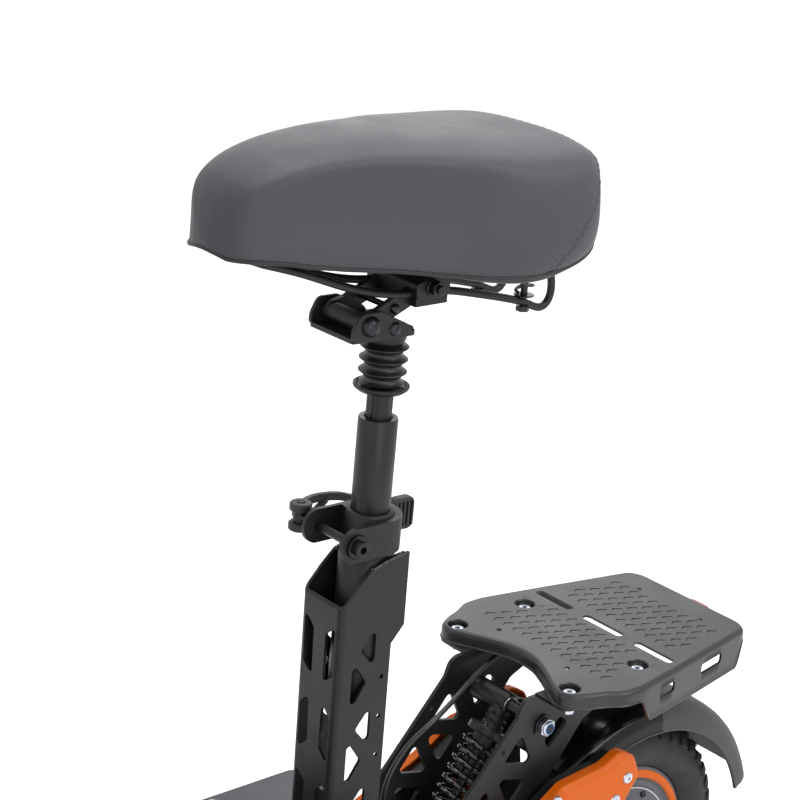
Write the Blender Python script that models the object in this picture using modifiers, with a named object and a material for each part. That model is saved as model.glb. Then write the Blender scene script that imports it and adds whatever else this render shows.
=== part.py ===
"""A folding electric scooter with a sprung saddle, as separate solids.

Sizes are in millimetres and are turned into Blender's metres by MM. +X is forward, +Y is the
rider's left and +Z is up. The origin is on the ground, in the middle of the scooter's outline.
The rear half is built about the luggage rack's front bolts, the fork and the stem about the
front axle, and the saddle's post about the foot of its own axis.
"""

import math

import bmesh
import bpy
from mathutils import Matrix, Vector

MM = 0.001
CLEAR = 0.3

# Wheels and stance
WHEELBASE = 980
TYRE_R = 150
TYRE_HALF = 30
BEAD_R = 99
WHEEL_SIDES = 24
RACK_TOP = 412
REAR_AXLE_BACK = 157
HEAD_LEAN = 12

# Rear fender
FENDER_R = 182
FENDER_DROP = 30
FENDER_HALF = 50
FENDER_FLAT = 30
FENDER_FRONT = 51
FENDER_REAR = 170
FENDER_WALL = 2.5
FRONT_FENDER_GAP = 17

# Deck
DECK_TOP = -130
DECK_REAR = 155
DECK_HALF = 120
BOARD_T = 3.7
TUB_REAR = 170
TUB_BEFORE_AXLE = 208
TUB_HALF = 112
TUB_DEPTH = 91
TUB_WALL = 3
BATTERY_SPACE = 17

# Seat column
COLUMN_FRONT = 237
COLUMN_REAR = 165.5
COLUMN_FOOT_REAR = 179
COLUMN_HALF = 27.8
COLUMN_TOP = 154
WEB_TOP = 113
SHEET = 3
WINDOW_PITCH = 76

# Frame plates, rack and shock
PLATE_OUT = 52.5
PLATE_T = 4
FLANGE_Z = -14
FLANGE_T = 3
FLANGE_HALF = 90
RACK_T = 2.5
RACK_SKIRT = 14
RACK_SIDE = 40
RACK_BOLT_Y = 78
RACK_BOLT_REAR = -90
CUP_R = 12
CUP_BORE = 9.8
BOLT_SHANK = 4
SHOCK_TOP = (4, -49)
SHOCK_FOOT = (94, -188)
SHOCK_EYE_R = 9.5
SHOCK_BOLT_R = 4
EYE_PLAY = 1
COIL_R = 18
COIL_WIRE = 2.75
COIL_TURNS = 8
COIL_SMALL = 1.6

# Swingarm
PIVOT = (146, -190)
PIVOT_BOLT_R = 7
ARM_IN = 59
ARM_OUT = 71.7
COVER_IN = 72
COVER_DEPTH = 15
COVER_WALL = 2.5
COVER_RIM = 6
CROSS_TUBE = (10, -192)
CROSS_R = 14
AXLE_R = 6
HUB_HALF = 40
HUB_BOSS_R = 23

# Post and saddle
POST_X = 193.1
POST_LEAN = 0.934
RECEIVER_FOOT = 10
RECEIVER_TOP = 190
RECEIVER_R = 21
SOCKET_R = 24.5
POST_R = 17.2
POST_FOOT = 95
POST_TOP = 273
CORE_R = 11.6
CORE_SHOWS = 17
CUP_DEPTH = 13
CUP_LIP_R = 24
BOOT_R = 21.5
BOOT_LENGTH = 37
HEAD_ROD_R = 6
PIN_X = 229
PIN_R = 5
PIN_RISE = 14
RAIL_HALF = 24
RAIL_REAR_HALF = 29
RAIL_R = 3.5
SPRING_BACK = -169
SPRING_TOP = 45

# Front end, measured along the steering axis from the front axle
FORK_HALF = 62
SLIDER_R = 17
STANCHION_R = 12
CROWN_FOOT = 205
CROWN_T = 30
STEERER_R = 14.6
HEAD_FOOT_S = 240
HEAD_TOP_S = 350
HEAD_R = 26
STEM_JOINT = 430
STEM_HINGE_X = 34
STEM_R = 19
BAR_S = 1000
BAR_R = 11
BAR_HALF = 285
GRIP_LENGTH = 118
GRIP_R = 16
LEVER_FROM_GRIP = 25

# Centre stand
STAND_PIVOT = (232, -236)
STAND_FOOT_X = 178
STAND_HALF = 101
STAND_R = 7

FENDER_LIP_R = FENDER_R - FENDER_DROP
REAR_REACH = -FENDER_R * math.cos(math.radians(FENDER_REAR))
REAR_AXLE_X = -(WHEELBASE + TYRE_R - REAR_REACH) / 2
RACK_X = REAR_AXLE_X + REAR_AXLE_BACK
FRONT_AXLE_X = REAR_AXLE_X + WHEELBASE
GROUND = -RACK_TOP
AXLE = (-REAR_AXLE_BACK, TYRE_R - RACK_TOP)
TUB_FRONT = WHEELBASE - REAR_AXLE_BACK - TUB_BEFORE_AXLE
BOARD_FOOT = DECK_TOP - BOARD_T
TUB_TOP = BOARD_FOOT - CLEAR
TUB_FLOOR = TUB_TOP - TUB_DEPTH
CUP_FOOT = POST_TOP + CORE_SHOWS
CUP_TOP = CUP_FOOT + CUP_DEPTH
BOOT_TOP = CUP_TOP + BOOT_LENGTH
HEAD_FOOT = BOOT_TOP + 12
PIN = (PIN_X, HEAD_FOOT + PIN_RISE)
LEVER_Y = BAR_HALF - GRIP_LENGTH - LEVER_FROM_GRIP

for old in list(bpy.data.objects):
    bpy.data.objects.remove(old)

PARTS = bpy.data.collections.new("folding_electric_scooter")
SHAPES = bpy.data.collections.new("cutters")
SHAPES.hide_render = True
for collection in (PARTS, SHAPES):
    bpy.context.scene.collection.children.link(collection)


def material(name, colour, roughness, metallic=0.0):
    made = bpy.data.materials.new(name)
    made.use_nodes = True
    shader = made.node_tree.nodes["Principled BSDF"]
    shader.inputs["Base Color"].default_value = (*colour, 1)
    shader.inputs["Roughness"].default_value = roughness
    shader.inputs["Metallic"].default_value = metallic
    return made


BLACK = material("black_powder_coat", (0.030, 0.031, 0.033), 0.5, 0.3)
GREY = material("grey_paint", (0.075, 0.077, 0.085), 0.5, 0.2)
ORANGE = material("orange_plastic", (0.90, 0.22, 0.03), 0.35)
RUBBER = material("rubber", (0.022, 0.022, 0.023), 0.75)
PLASTIC = material("black_plastic", (0.028, 0.028, 0.03), 0.45)
STEEL = material("zinc_steel", (0.60, 0.61, 0.65), 0.3, 1.0)
ALLOY = material("alloy", (0.33, 0.34, 0.36), 0.35, 1.0)
LEATHER = material("saddle_cover", (0.055, 0.055, 0.058), 0.6)
RED = material("red_lens", (0.75, 0.25, 0.22), 0.25)
GLASS = material("clear_lens", (0.80, 0.82, 0.85), 0.15)


# Frames and joint axes

def empty(name, at, parent=None, lean=0.0):
    made = bpy.data.objects.new(name, None)
    made.location = Vector(at) * MM
    made.rotation_euler = (0, math.radians(-lean), 0)
    made.parent = parent
    made.empty_display_size = 0.05
    PARTS.objects.link(made)
    return made


REAR = empty("rack_frame", (RACK_X, 0, RACK_TOP))
FRONT = empty("steering_axis", (FRONT_AXLE_X, 0, TYRE_R), lean=HEAD_LEAN)
POST = empty("post_axis", (POST_X, 0, 0), REAR, POST_LEAN)
SEAT = empty("saddle_frame", (PIN[0], 0, PIN[1]), REAR)


def in_post(x, z):
    """A point of the rear frame's middle plane, in the coordinates of the leaning post."""
    lean = math.radians(POST_LEAN)
    ahead = x - POST_X
    return ahead * math.cos(lean) + z * math.sin(lean), z * math.cos(lean) - ahead * math.sin(lean)


def axis_empty(name, frame, x, z, y=0.0):
    """The place of a joint, in the coordinates of its frame."""
    return empty(name, (x, y, z), frame)


# Shapes

def raw(name, mesh, frame):
    made = bpy.data.objects.new(name, mesh)
    made.parent = frame
    made.display_type = "WIRE"
    made.hide_render = True
    SHAPES.objects.link(made)
    return made


def mesh_from(build, name):
    shape = bmesh.new()
    build(shape)
    mesh = bpy.data.meshes.new(name)
    bmesh.ops.recalc_face_normals(shape, faces=shape.faces)
    shape.to_mesh(mesh)
    shape.free()
    return mesh


def block(frame, low, high, bevel=0.0):
    """A box between two corners, with chamfered edges if a bevel is given."""
    low = Vector(low)
    high = Vector(high)
    place = Matrix.Translation((low + high) / 2 * MM) @ Matrix.Diagonal((*((high - low) * MM), 1))
    made = raw("block", mesh_from(lambda b: bmesh.ops.create_cube(b, size=1, matrix=place), "block"), frame)
    if bevel:
        edge = made.modifiers.new("edges", "BEVEL")
        edge.width = bevel * MM
    return made


def rod(frame, start, end, radius, sides=12, end_radius=None):
    """A cylinder or a cone between two points."""
    start = Vector(start) * MM
    end = Vector(end) * MM
    turn = (end - start).to_track_quat("Z", "Y").to_matrix().to_4x4()
    place = Matrix.Translation((start + end) / 2) @ turn
    tip = radius if end_radius is None else end_radius

    def build(shape):
        bmesh.ops.create_cone(shape, cap_ends=True, segments=sides, radius1=radius * MM,
                              radius2=tip * MM, depth=(end - start).length, matrix=place)

    return raw("rod", mesh_from(build, "rod"), frame)


def bore(frame, start, end, radius, sides=12):
    """A cutter whose flats clear a round piece of this radius, however many sides the piece has."""
    return rod(frame, start, end, flat_radius(radius, sides), sides)


def flat_radius(radius, sides=12):
    """The corner radius of a hole that clears a round piece of this radius."""
    return (radius + CLEAR) / math.cos(math.pi / sides)


AXIS_TURN = {"Z": (0, 0, 0), "Y": (-math.pi / 2, 0, 0), "X": (0, math.pi / 2, 0)}


def turned(frame, profile, centre=(0, 0, 0), axis="Z", sides=20, closed=True):
    """A profile of (radius, height), from the top down its outer side, turned about an axis."""
    mesh = bpy.data.meshes.new("profile")
    count = len(profile)
    edges = [(i, i + 1) for i in range(count - 1)]
    if closed:
        edges.append((count - 1, 0))
    mesh.from_pydata([(r * MM, 0, h * MM) for r, h in profile], edges, [])
    made = raw("turned", mesh, frame)
    made.rotation_euler = AXIS_TURN[axis]
    made.location = Vector(centre) * MM
    screw = made.modifiers.new("turn", "SCREW")
    screw.steps = sides
    screw.render_steps = sides
    screw.use_merge_vertices = True
    screw.merge_threshold = 0.00001
    return made


def to_mesh(curve_object):
    """The curve as a closed mesh in the same place."""
    graph = bpy.context.evaluated_depsgraph_get()
    mesh = bpy.data.meshes.new_from_object(curve_object.evaluated_get(graph))
    shape = bmesh.new()
    shape.from_mesh(mesh)
    bmesh.ops.remove_doubles(shape, verts=shape.verts, dist=0.000001)
    bmesh.ops.recalc_face_normals(shape, faces=shape.faces)
    shape.to_mesh(mesh)
    shape.free()
    return mesh


PLANES = {
    "xy": Matrix.Identity(3),
    "xz": Matrix(((1, 0, 0), (0, 0, -1), (0, 1, 0))),
    "yz": Matrix(((0, 0, 1), (1, 0, 0), (0, 1, 0))),
}


def prism(frame, plane, outline, low, high, holes=()):
    """A flat outline with holes, filled and made as thick as from low to high across its plane."""
    curve = bpy.data.curves.new("outline", "CURVE")
    curve.dimensions = "2D"
    curve.fill_mode = "BOTH"
    curve.extrude = (high - low) / 2 * MM
    for loop in (outline, *holes):
        spline = curve.splines.new("POLY")
        spline.points.add(len(loop) - 1)
        for point, (u, v) in zip(spline.points, loop):
            point.co = (u * MM, v * MM, 0, 1)
        spline.use_cyclic_u = True
    flat = bpy.data.objects.new("outline", curve)
    SHAPES.objects.link(flat)
    mesh = to_mesh(flat)
    bpy.data.objects.remove(flat)
    turn = PLANES[plane]
    normal = turn.col[2]
    side = 1 if sum(normal) > 0 else -1
    place = Matrix.Translation(normal * side * (low + high) / 2 * MM)
    mesh.transform(place @ turn.to_4x4())
    return raw("prism", mesh, frame)


def pipe(frame, points, radius, resolution=2):
    """A round wire through the points, as a closed mesh."""
    curve = bpy.data.curves.new("pipe", "CURVE")
    curve.dimensions = "3D"
    curve.bevel_depth = radius * MM
    curve.bevel_resolution = resolution
    curve.use_fill_caps = True
    spline = curve.splines.new("POLY")
    spline.points.add(len(points) - 1)
    for point, place in zip(spline.points, points):
        point.co = (*(Vector(place) * MM), 1)
    wire = bpy.data.objects.new("pipe", curve)
    SHAPES.objects.link(wire)
    mesh = to_mesh(wire)
    bpy.data.objects.remove(wire)
    return raw("pipe", mesh, frame)


def loft(frame, rings):
    """A closed skin over rings of the same number of points."""
    def build(shape):
        made = [[shape.verts.new(Vector(p) * MM) for p in ring] for ring in rings]
        size = len(rings[0])
        for one, two in zip(made, made[1:]):
            for i in range(size):
                j = (i + 1) % size
                shape.faces.new((one[i], one[j], two[j], two[i]))
        shape.faces.new(made[0])
        shape.faces.new(made[-1])

    return raw("loft", mesh_from(build, "loft"), frame)


def smooth_path(points, steps):
    """Points along a Catmull-Rom curve through the given ones."""
    ends = [points[0], *points, points[-1]]
    made = []
    for a, b, c, d in zip(ends, ends[1:], ends[2:], ends[3:]):
        a, b, c, d = Vector(a), Vector(b), Vector(c), Vector(d)
        for i in range(steps):
            t = i / steps
            made.append(((2 * b) + (c - a) * t + (2 * a - 5 * b + 4 * c - d) * t * t
                         + (3 * b - a - 3 * c + d) * t ** 3) / 2)
    made.append(Vector(points[-1]))
    return made


def rounded(corners, radius, steps=2):
    """An outline with its corners rounded; a corner may carry its own radius as a third value."""
    made = []
    count = len(corners)
    for i, corner in enumerate(corners):
        here = Vector(corner[:2])
        before = Vector(corners[i - 1][:2])
        after = Vector(corners[(i + 1) % count][:2])
        r = corner[2] if len(corner) > 2 else radius
        one = (before - here).normalized()
        two = (after - here).normalized()
        half = one.angle(two) / 2
        if r <= 0 or half > math.pi / 2 - 0.02:
            made.append(tuple(here))
            continue
        reach = min(r / math.tan(half), (before - here).length * 0.48, (after - here).length * 0.48)
        r = reach * math.tan(half)
        centre = here + (one + two).normalized() * (r / math.sin(half))
        first = here + one * reach - centre
        last = here + two * reach - centre
        swing = first.angle_signed(last)
        for k in range(steps + 1):
            turn = Matrix.Rotation(-swing * k / steps, 2)
            made.append(tuple(centre + turn @ first))
    return made


def inset(outline, by):
    """The outline moved inwards, whichever way round it runs."""
    count = len(outline)
    area = sum(outline[i - 1][0] * outline[i][1] - outline[i][0] * outline[i - 1][1] for i in range(count))
    side = 1 if area > 0 else -1
    made = []
    for i in range(count):
        here = Vector(outline[i])
        one = (here - Vector(outline[i - 1])).normalized()
        two = (Vector(outline[(i + 1) % count]) - here).normalized()
        normal_one = Vector((-one.y, one.x)) * side
        normal_two = Vector((-two.y, two.x)) * side
        middle = (normal_one + normal_two).normalized()
        made.append(tuple(here + middle * by / max(0.4, middle.dot(normal_one))))
    return made


def circle(x, z, radius, sides=16):
    """A round hole whose first corner is off the axes, so that no two holes line up."""
    angles = [2 * math.pi * (i + 0.37) / sides for i in range(sides)]
    return [(x + radius * math.cos(a), z + radius * math.sin(a)) for a in angles]


# Making parts out of shapes

def boolean(obj, other, operation):
    step = obj.modifiers.new(operation.lower(), "BOOLEAN")
    step.operation = operation
    step.object = other
    step.solver = "EXACT"


def cut(obj, *others):
    for other in others:
        boolean(obj, other, "DIFFERENCE")
    return obj


def joined(obj, *others):
    for other in others:
        boolean(obj, other, "UNION")
    return obj


def part(name, obj, finish, joint=None, smooth=35):
    """Makes a shape a part of the scooter, carried by its joint's axis."""
    SHAPES.objects.unlink(obj)
    PARTS.objects.link(obj)
    obj.name = name
    obj.hide_render = False
    obj.display_type = "TEXTURED"
    obj.data.materials.clear()
    obj.data.materials.append(finish)
    obj.data.shade_smooth()
    obj.data.set_sharp_from_angle(angle=math.radians(smooth))
    if joint:
        obj.parent = joint
        obj.location -= joint.location
    return obj


# Deck, battery and neck

def tub_shell():
    shell = block(REAR, (TUB_REAR, -TUB_HALF, TUB_FLOOR), (TUB_FRONT, TUB_HALF, TUB_TOP), 2)
    room = block(REAR, (TUB_REAR + TUB_WALL, -TUB_HALF + TUB_WALL, TUB_FLOOR + TUB_WALL),
                 (TUB_FRONT - TUB_WALL, TUB_HALF - TUB_WALL, TUB_TOP + 10))
    for side in (-1, 1):
        y = side * 70
        joined(shell, block(REAR, (STAND_PIVOT[0] - 13, y - 5, STAND_PIVOT[1] - 12),
                            (STAND_PIVOT[0] + 13, y + 5, TUB_FLOOR + 1)))
    x, z = STAND_PIVOT
    return cut(shell, room, bore(REAR, (x, -90, z), (x, 90, z), STAND_R))


def foot_board():
    corners = [(DECK_REAR, -DECK_HALF, 14), (TUB_FRONT, -DECK_HALF, 40), (TUB_FRONT, DECK_HALF, 40),
               (DECK_REAR, DECK_HALF, 14)]
    return prism(REAR, "xy", rounded(corners, 20, 5), BOARD_FOOT, DECK_TOP)


def neck():
    """The bent beam from the tub's front to the middle of the head tube."""
    lean = math.radians(HEAD_LEAN)
    middle = (HEAD_FOOT_S + HEAD_TOP_S) / 2
    head_z = AXLE[1] + middle * math.cos(lean)
    run = AXLE[0] + WHEELBASE - middle * math.sin(lean) - TUB_FRONT
    path = [(TUB_FRONT - 10, 0, -178), (TUB_FRONT + 4, 0, -150)]
    shares = ((0.17, -100), (0.42, -45), (0.73, head_z - 26), (1, head_z))
    path += [(TUB_FRONT + share * run, 0, z) for share, z in shares]
    beam = pipe(REAR, smooth_path(path, 2), 23, 2)
    lowest = TUB_FLOOR + 8
    shoe = block(REAR, (TUB_FRONT + CLEAR, -50, lowest), (TUB_FRONT + 9, 50, TUB_TOP - 6), 2)
    behind = block(REAR, (TUB_FRONT - 60, -80, lowest - 40), (TUB_FRONT + CLEAR, 80, TUB_TOP + 90))
    return beam, shoe, behind


def neck_frame():
    head = rod(FRONT, (0, 0, HEAD_FOOT_S), (0, 0, HEAD_TOP_S), HEAD_R, 16)
    beam, shoe, behind = neck()
    joined(head, cut(beam, behind), shoe)
    return cut(head, rod(FRONT, (0, 0, HEAD_FOOT_S - 30), (0, 0, HEAD_TOP_S + 30), STEERER_R + 0.6, 14))


def build_deck():
    part("deck_tub", tub_shell(), GREY)
    part("footboard", foot_board(), GREY)
    floor = TUB_FLOOR + TUB_WALL + CLEAR
    half = TUB_HALF - BATTERY_SPACE
    battery = block(REAR, (TUB_REAR + 20, -half, floor), (TUB_FRONT - 100, half, floor + 62), 4)
    part("battery_pack", battery, PLASTIC)
    controller = block(REAR, (TUB_FRONT - 87, -55, floor), (TUB_FRONT - 13, 55, floor + 30), 2)
    part("motor_controller", controller, ALLOY)
    part("neck_frame", neck_frame(), BLACK)
    part("headset_lower", turned(FRONT, [(25, HEAD_FOOT_S - CLEAR), (25, HEAD_FOOT_S - 4.7),
                                         (flat_radius(STEERER_R, 20), HEAD_FOOT_S - 4.7),
                                         (flat_radius(STEERER_R, 20), HEAD_FOOT_S - CLEAR)]), ALLOY)
    profile = [(0, 62), (23, 62), (25, 58), (25, 32), (14, 27), (0, 26.6)]
    lamp = turned(FRONT, profile, (0, 0, 300), "X", 20, False)
    part("headlight", lamp, GLASS)


# Seat column

def column_windows():
    """Triangles in the flanges and slanted slots in the web, each set repeated down the column."""
    flange = []
    web = []
    for k in range(3):
        drop = k * WINDOW_PITCH
        behind = [(196.5, 91 - drop), (213, 71 - drop), (196.5, 52 - drop)]
        ahead = [(221, 64 - drop), (204, 39 - drop), (221, 14 - drop)]
        flange.append(behind)
        if k < 2:
            flange.append(ahead)
    flange.append([(221, 64 - 2 * WINDOW_PITCH + 6), (204, 39 - 2 * WINDOW_PITCH), (221, 22 - 2 * WINDOW_PITCH)])
    slot = [(-21, 97), (-8, 86), (-7.5, 39), (-20.5, 50)]
    other = [(-9, 21), (-21, 9), (-21, -36), (-8, -24)]
    last = [(y, max(z - 151, DECK_TOP + 14)) for y, z in slot]
    for one in (slot, other, last):
        web.append(one)
        web.append([(-y, z) for y, z in reversed(one)])
    return flange, web


def seat_column():
    half = COLUMN_HALF
    profile = [(COLUMN_REAR, half, 0), (COLUMN_FRONT, half, 5), (COLUMN_FRONT, -half, 5),
               (COLUMN_REAR, -half, 0), (COLUMN_REAR, -half + SHEET, 0),
               (COLUMN_FRONT - SHEET, -half + SHEET, 2), (COLUMN_FRONT - SHEET, half - SHEET, 2),
               (COLUMN_REAR, half - SHEET, 0)]
    foot = DECK_TOP + CLEAR
    column = prism(REAR, "xy", rounded(profile, 4, 3), foot, COLUMN_TOP + 6)
    top = [(COLUMN_FRONT + 8, WEB_TOP), (COLUMN_FRONT - 0.4, WEB_TOP), (218, 134), (204, 147), (167, COLUMN_TOP),
           (150, COLUMN_TOP + 1), (150, COLUMN_TOP + 40), (COLUMN_FRONT + 8, COLUMN_TOP + 40)]
    back = [(150, foot - 10), (COLUMN_FOOT_REAR, foot - 10), (COLUMN_FOOT_REAR, 70), (COLUMN_REAR - 0.4, 86),
            (150, 86)]
    wide = half + 12
    cut(column, prism(REAR, "xz", top, -wide, wide), prism(REAR, "xz", back, -wide, wide))
    flange, web = column_windows()
    for window in flange:
        cut(column, prism(REAR, "xz", rounded(window, 3, 1), -wide, wide))
    for window in web:
        cut(column, prism(REAR, "yz", rounded(window, 2.5, 1), COLUMN_FRONT - 8, COLUMN_FRONT + 8))
    for k in range(3):
        hole = circle(187, 40.4 - 38.5 * k, 2.2, 6)
        cut(column, prism(REAR, "xz", hole, -wide, wide))
    return column


def receiver():
    inner = flat_radius(POST_R, 20)
    return turned(POST, [(RECEIVER_R, RECEIVER_TOP), (RECEIVER_R, 152), (SOCKET_R, 149),
                         (SOCKET_R, RECEIVER_FOOT), (inner, RECEIVER_FOOT), (inner, RECEIVER_TOP)])


def clamp_band():
    """A strap round the receiver whose ends run forward as two round-ended ears."""
    inner = flat_radius(RECEIVER_R, 16)
    outer = COLUMN_HALF + 0.2
    front = 245 - POST_X
    steps = 12
    outline = [(front, outer)]
    outline += [(-outer * math.sin(math.pi * i / steps), outer * math.cos(math.pi * i / steps))
                for i in range(steps + 1)]
    outline += [(front, -outer), (front, -outer + 4), (12, -outer + 4)]
    start = math.asin(12 / inner) + 0.1
    outline += [(-inner * math.sin(a), -inner * math.cos(a))
                for a in [start * -1 + (math.pi + 2 * start) * i / steps for i in range(steps + 1)]]
    outline += [(12, outer - 4), (front, outer - 4)]
    band = prism(POST, "xy", outline, 156, 187)
    centre = (front - 16, 171.5)
    ends = [(centre[0] + 40, centre[1] - 40), (centre[0] + 40, centre[1] + 40), (centre[0] - 2, centre[1] + 40)]
    ends += [(centre[0] + 15.7 * math.sin(math.pi * i / 10), centre[1] + 15.7 * math.cos(math.pi * i / 10))
             for i in range(11)]
    ends += [(centre[0] - 2, centre[1] - 40)]
    cut(band, prism(POST, "xz", ends, -50, 50))
    cut(band, bore(POST, (front - 16, -60, 171.5), (front - 16, 60, 171.5), 4))
    return band


def build_column():
    part("seat_column", seat_column(), BLACK)
    part("receiver_tube", receiver(), BLACK)
    part("clamp_band", clamp_band(), BLACK)
    x = 245 - POST_X - 16
    z = 171.5
    out = COLUMN_HALF + 0.5
    bolt = rod(POST, (x, -57, z), (x, out + 9, z), 4)
    joined(bolt, rod(POST, (x, out, z), (x, out + 2, z), 9, 14))
    joined(bolt, rod(POST, (x, out + 1.6, z), (x, out + 7.6, z), 7, 6))
    joined(bolt, rod(POST, (x, -out - 7, z), (x, -out, z), 8.5, 14))
    joined(bolt, rod(POST, (x, -50, z - 9.3), (x, -50, z + 9.3), 6.5))
    part("clamp_bolt", bolt, STEEL)
    pin = axis_empty("cam_lever_axis", POST, x, z, -50)
    discs = rod(POST, (x, -50, z + 9.6), (x, -50, z + 16), 11)
    low = rod(POST, (x, -50, z - 16), (x, -50, z - 9.6), 11)
    arm = pipe(POST, smooth_path([(x - 6, -54, z + 12.8), (x - 24, -60, z + 11), (x - 50, -57, z + 6),
                                  (x - 74, -48, z - 2), (x - 95, -37, z - 10)], 2), 3.2, 1)
    low_arm = pipe(POST, [(x - 6, -54, z - 12.8), (x - 20, -58, z - 9), (x - 36, -60, z + 8.5)], 3.2, 1)
    paddle = block(POST, (x - 116, -41, z - 27), (x - 92, -31, z + 2), 3)
    part("cam_lever", joined(discs, arm, low_arm, low, paddle), PLASTIC, pin)


# Rear frame plates, rack and lamp

def plate_outline():
    slope = -1.153
    foot = TUB_FLOOR + 4
    front = TUB_REAR - CLEAR
    return [(-108, FLANGE_Z - 1.6, 3), (31, FLANGE_Z - 1.6, 18), (38, -35, 8),
            (front, -31.5 + slope * (front - 35), 2), (front, foot, 2),
            (8 + 0.606 / 0.796 * (-134 - foot), foot, 8), (8, -134, 20), (-22, -95, 20), (-50, -58, 12),
            (-98, -36, 8)]


def plate_windows():
    windows = []
    for k in range(2):
        dx = 39 * k
        dz = -46 * k
        windows.append([(30 + dx, -51 + dz), (51 + dx, -77.5 + dz), (12 + dx, -87 + dz)])
        windows.append([(57 + dx, -91 + dz), (38 + dx, -127 + dz), (18 + dx, -102 + dz)])
    windows.append([(108, -143), (129, -169.5), (92, -177)])
    windows.append([(-18, -46), (-1, -66), (-6, -80), (-30, -54)])
    return windows


def frame_plate(side):
    inner = PLATE_OUT - PLATE_T
    low, high = sorted((side * inner, side * PLATE_OUT))
    windows = [rounded(window, 4, 1) for window in plate_windows()]
    holes = [circle(52.5 + 39 * k, -64.5 - 46 * k, 2.2, 6) for k in range(3)]
    bores = [circle(*SHOCK_TOP, flat_radius(SHOCK_BOLT_R, 10), 10),
             circle(*PIVOT, flat_radius(PIVOT_BOLT_R), 12)]
    plate = prism(REAR, "xz", rounded(plate_outline(), 8, 1), low, high, windows + holes + bores)
    corners = [(-108, inner + 0.6, 0), (15, inner + 0.6, 0), (15, FLANGE_HALF, 10), (-108, FLANGE_HALF, 10)]
    flange = rounded([(x, side * y, r) for x, y, r in corners], 0, 2)
    bolts = [circle(x, side * RACK_BOLT_Y, flat_radius(BOLT_SHANK, 8), 8) for x in (0, RACK_BOLT_REAR)]
    return joined(plate, prism(REAR, "xy", flange, FLANGE_Z - FLANGE_T, FLANGE_Z, bolts))


def rack_outline():
    front = [(-13, 15), (-5, 35), (14, 72), (17, 80), (10, 91), (-4, 99), (-22, 105), (-39, 113), (-60, 115),
             (-120, 104), (-205, 86), (-232, 79), (-243, 70), (-246, 56)]
    back = [(x, -y) for x, y in reversed(front)]
    return front + back


def rack():
    outline = rack_outline()
    body = prism(REAR, "xy", outline, -RACK_SIDE, 0)
    inside = prism(REAR, "xy", inset(outline, RACK_T), -RACK_SIDE - 10, -RACK_T)
    front = [(60, -RACK_SKIRT), (-56, -RACK_SKIRT), (-66, -RACK_SKIRT - 4), (-80, -RACK_SIDE - 10),
             (60, -RACK_SIDE - 10)]
    rear = [(-260, -RACK_SKIRT), (-240, -RACK_SKIRT), (-236, -RACK_SKIRT - 4), (-232, -RACK_SIDE - 10),
            (-260, -RACK_SIDE - 10)]
    cut(body, inside, prism(REAR, "xz", front, -140, 140), prism(REAR, "xz", rear, -140, 140))
    for x in (0, RACK_BOLT_REAR):
        for side in (-1, 1):
            y = side * RACK_BOLT_Y
            joined(body, rod(REAR, (x, y, FLANGE_Z + CLEAR), (x, y, -RACK_T + 1), CUP_R, 10))
            cut(body, rod(REAR, (x, y, -9), (x, y, 5), CUP_BORE, 10))
            cut(body, bore(REAR, (x, y, -30), (x, y, 5), BOLT_SHANK, 8))
    for low, high in ((-26.2, 26.2), (43.8, 92.9), (-92.9, -43.8)):
        slot = rounded([(-126.8, low), (-116.8, low), (-116.8, high), (-126.8, high)], 3.5, 1)
        cut(body, prism(REAR, "xy", slot, -RACK_T - 2, 5))
    for x, y in ((-26, 47.3), (-217.6, 41.8)):
        for side in (-1, 1):
            cut(body, rod(REAR, (x, side * y, -8), (x, side * y, 5), 2.6, 6))
    for x in (-98.5, -184):
        slot = rounded([(x - 15, -23), (x + 15, -23), (x + 15, -12), (x - 15, -12)], 3.5, 1)
        cut(body, prism(REAR, "xz", slot, -140, 140))
    return body


def build_rear_frame():
    part("frame_plate_left", frame_plate(1), BLACK)
    part("frame_plate_right", frame_plate(-1), BLACK)
    part("luggage_rack", rack(), GREY)
    x, z = SHOCK_TOP
    bolt = rod(REAR, (x, -PLATE_OUT - 10, z), (x, PLATE_OUT + 11, z), SHOCK_BOLT_R, 10)
    for side in (-1, 1):
        inner, outer = side * 18.5, side * (PLATE_OUT - PLATE_T - CLEAR)
        joined(bolt, rod(REAR, (x, inner, z), (x, outer, z), 6.5, 10))
        joined(bolt, rod(REAR, (x, side * (PLATE_OUT + CLEAR), z), (x, side * (PLATE_OUT + 8), z), 8, 6))
    part("shock_bolt", bolt, STEEL)
    corners = [(-246.4, -17), (-246.4, 17), (-268, 15, 8), (-268, -15, 8)]
    part("tail_light", prism(REAR, "xy", rounded(corners, 2, 4), -28, -10), RED)


# Rear wheel, swingarm and shock

def hub_profile():
    half = [(AXLE_R + 0.5, HUB_HALF), (HUB_BOSS_R, HUB_HALF), (HUB_BOSS_R, 28), (78, 16.5), (90, 20),
            (BEAD_R - CLEAR, 19)]
    return half + [(r, -h) for r, h in reversed(half)]


def tyre_profile():
    half = [(BEAD_R, 18.5), (112, 28.5), (124, TYRE_HALF), (141, 23), (TYRE_R, 0)]
    return half + [(r, -h) for r, h in reversed(half[:-1])]


def wheel(prefix, frame, centre, joint):
    part(prefix + "_hub", turned(frame, hub_profile(), centre, "Y", WHEEL_SIDES), GREY, joint)
    part(prefix + "_tyre", turned(frame, tyre_profile(), centre, "Y", WHEEL_SIDES), RUBBER, joint)


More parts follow.
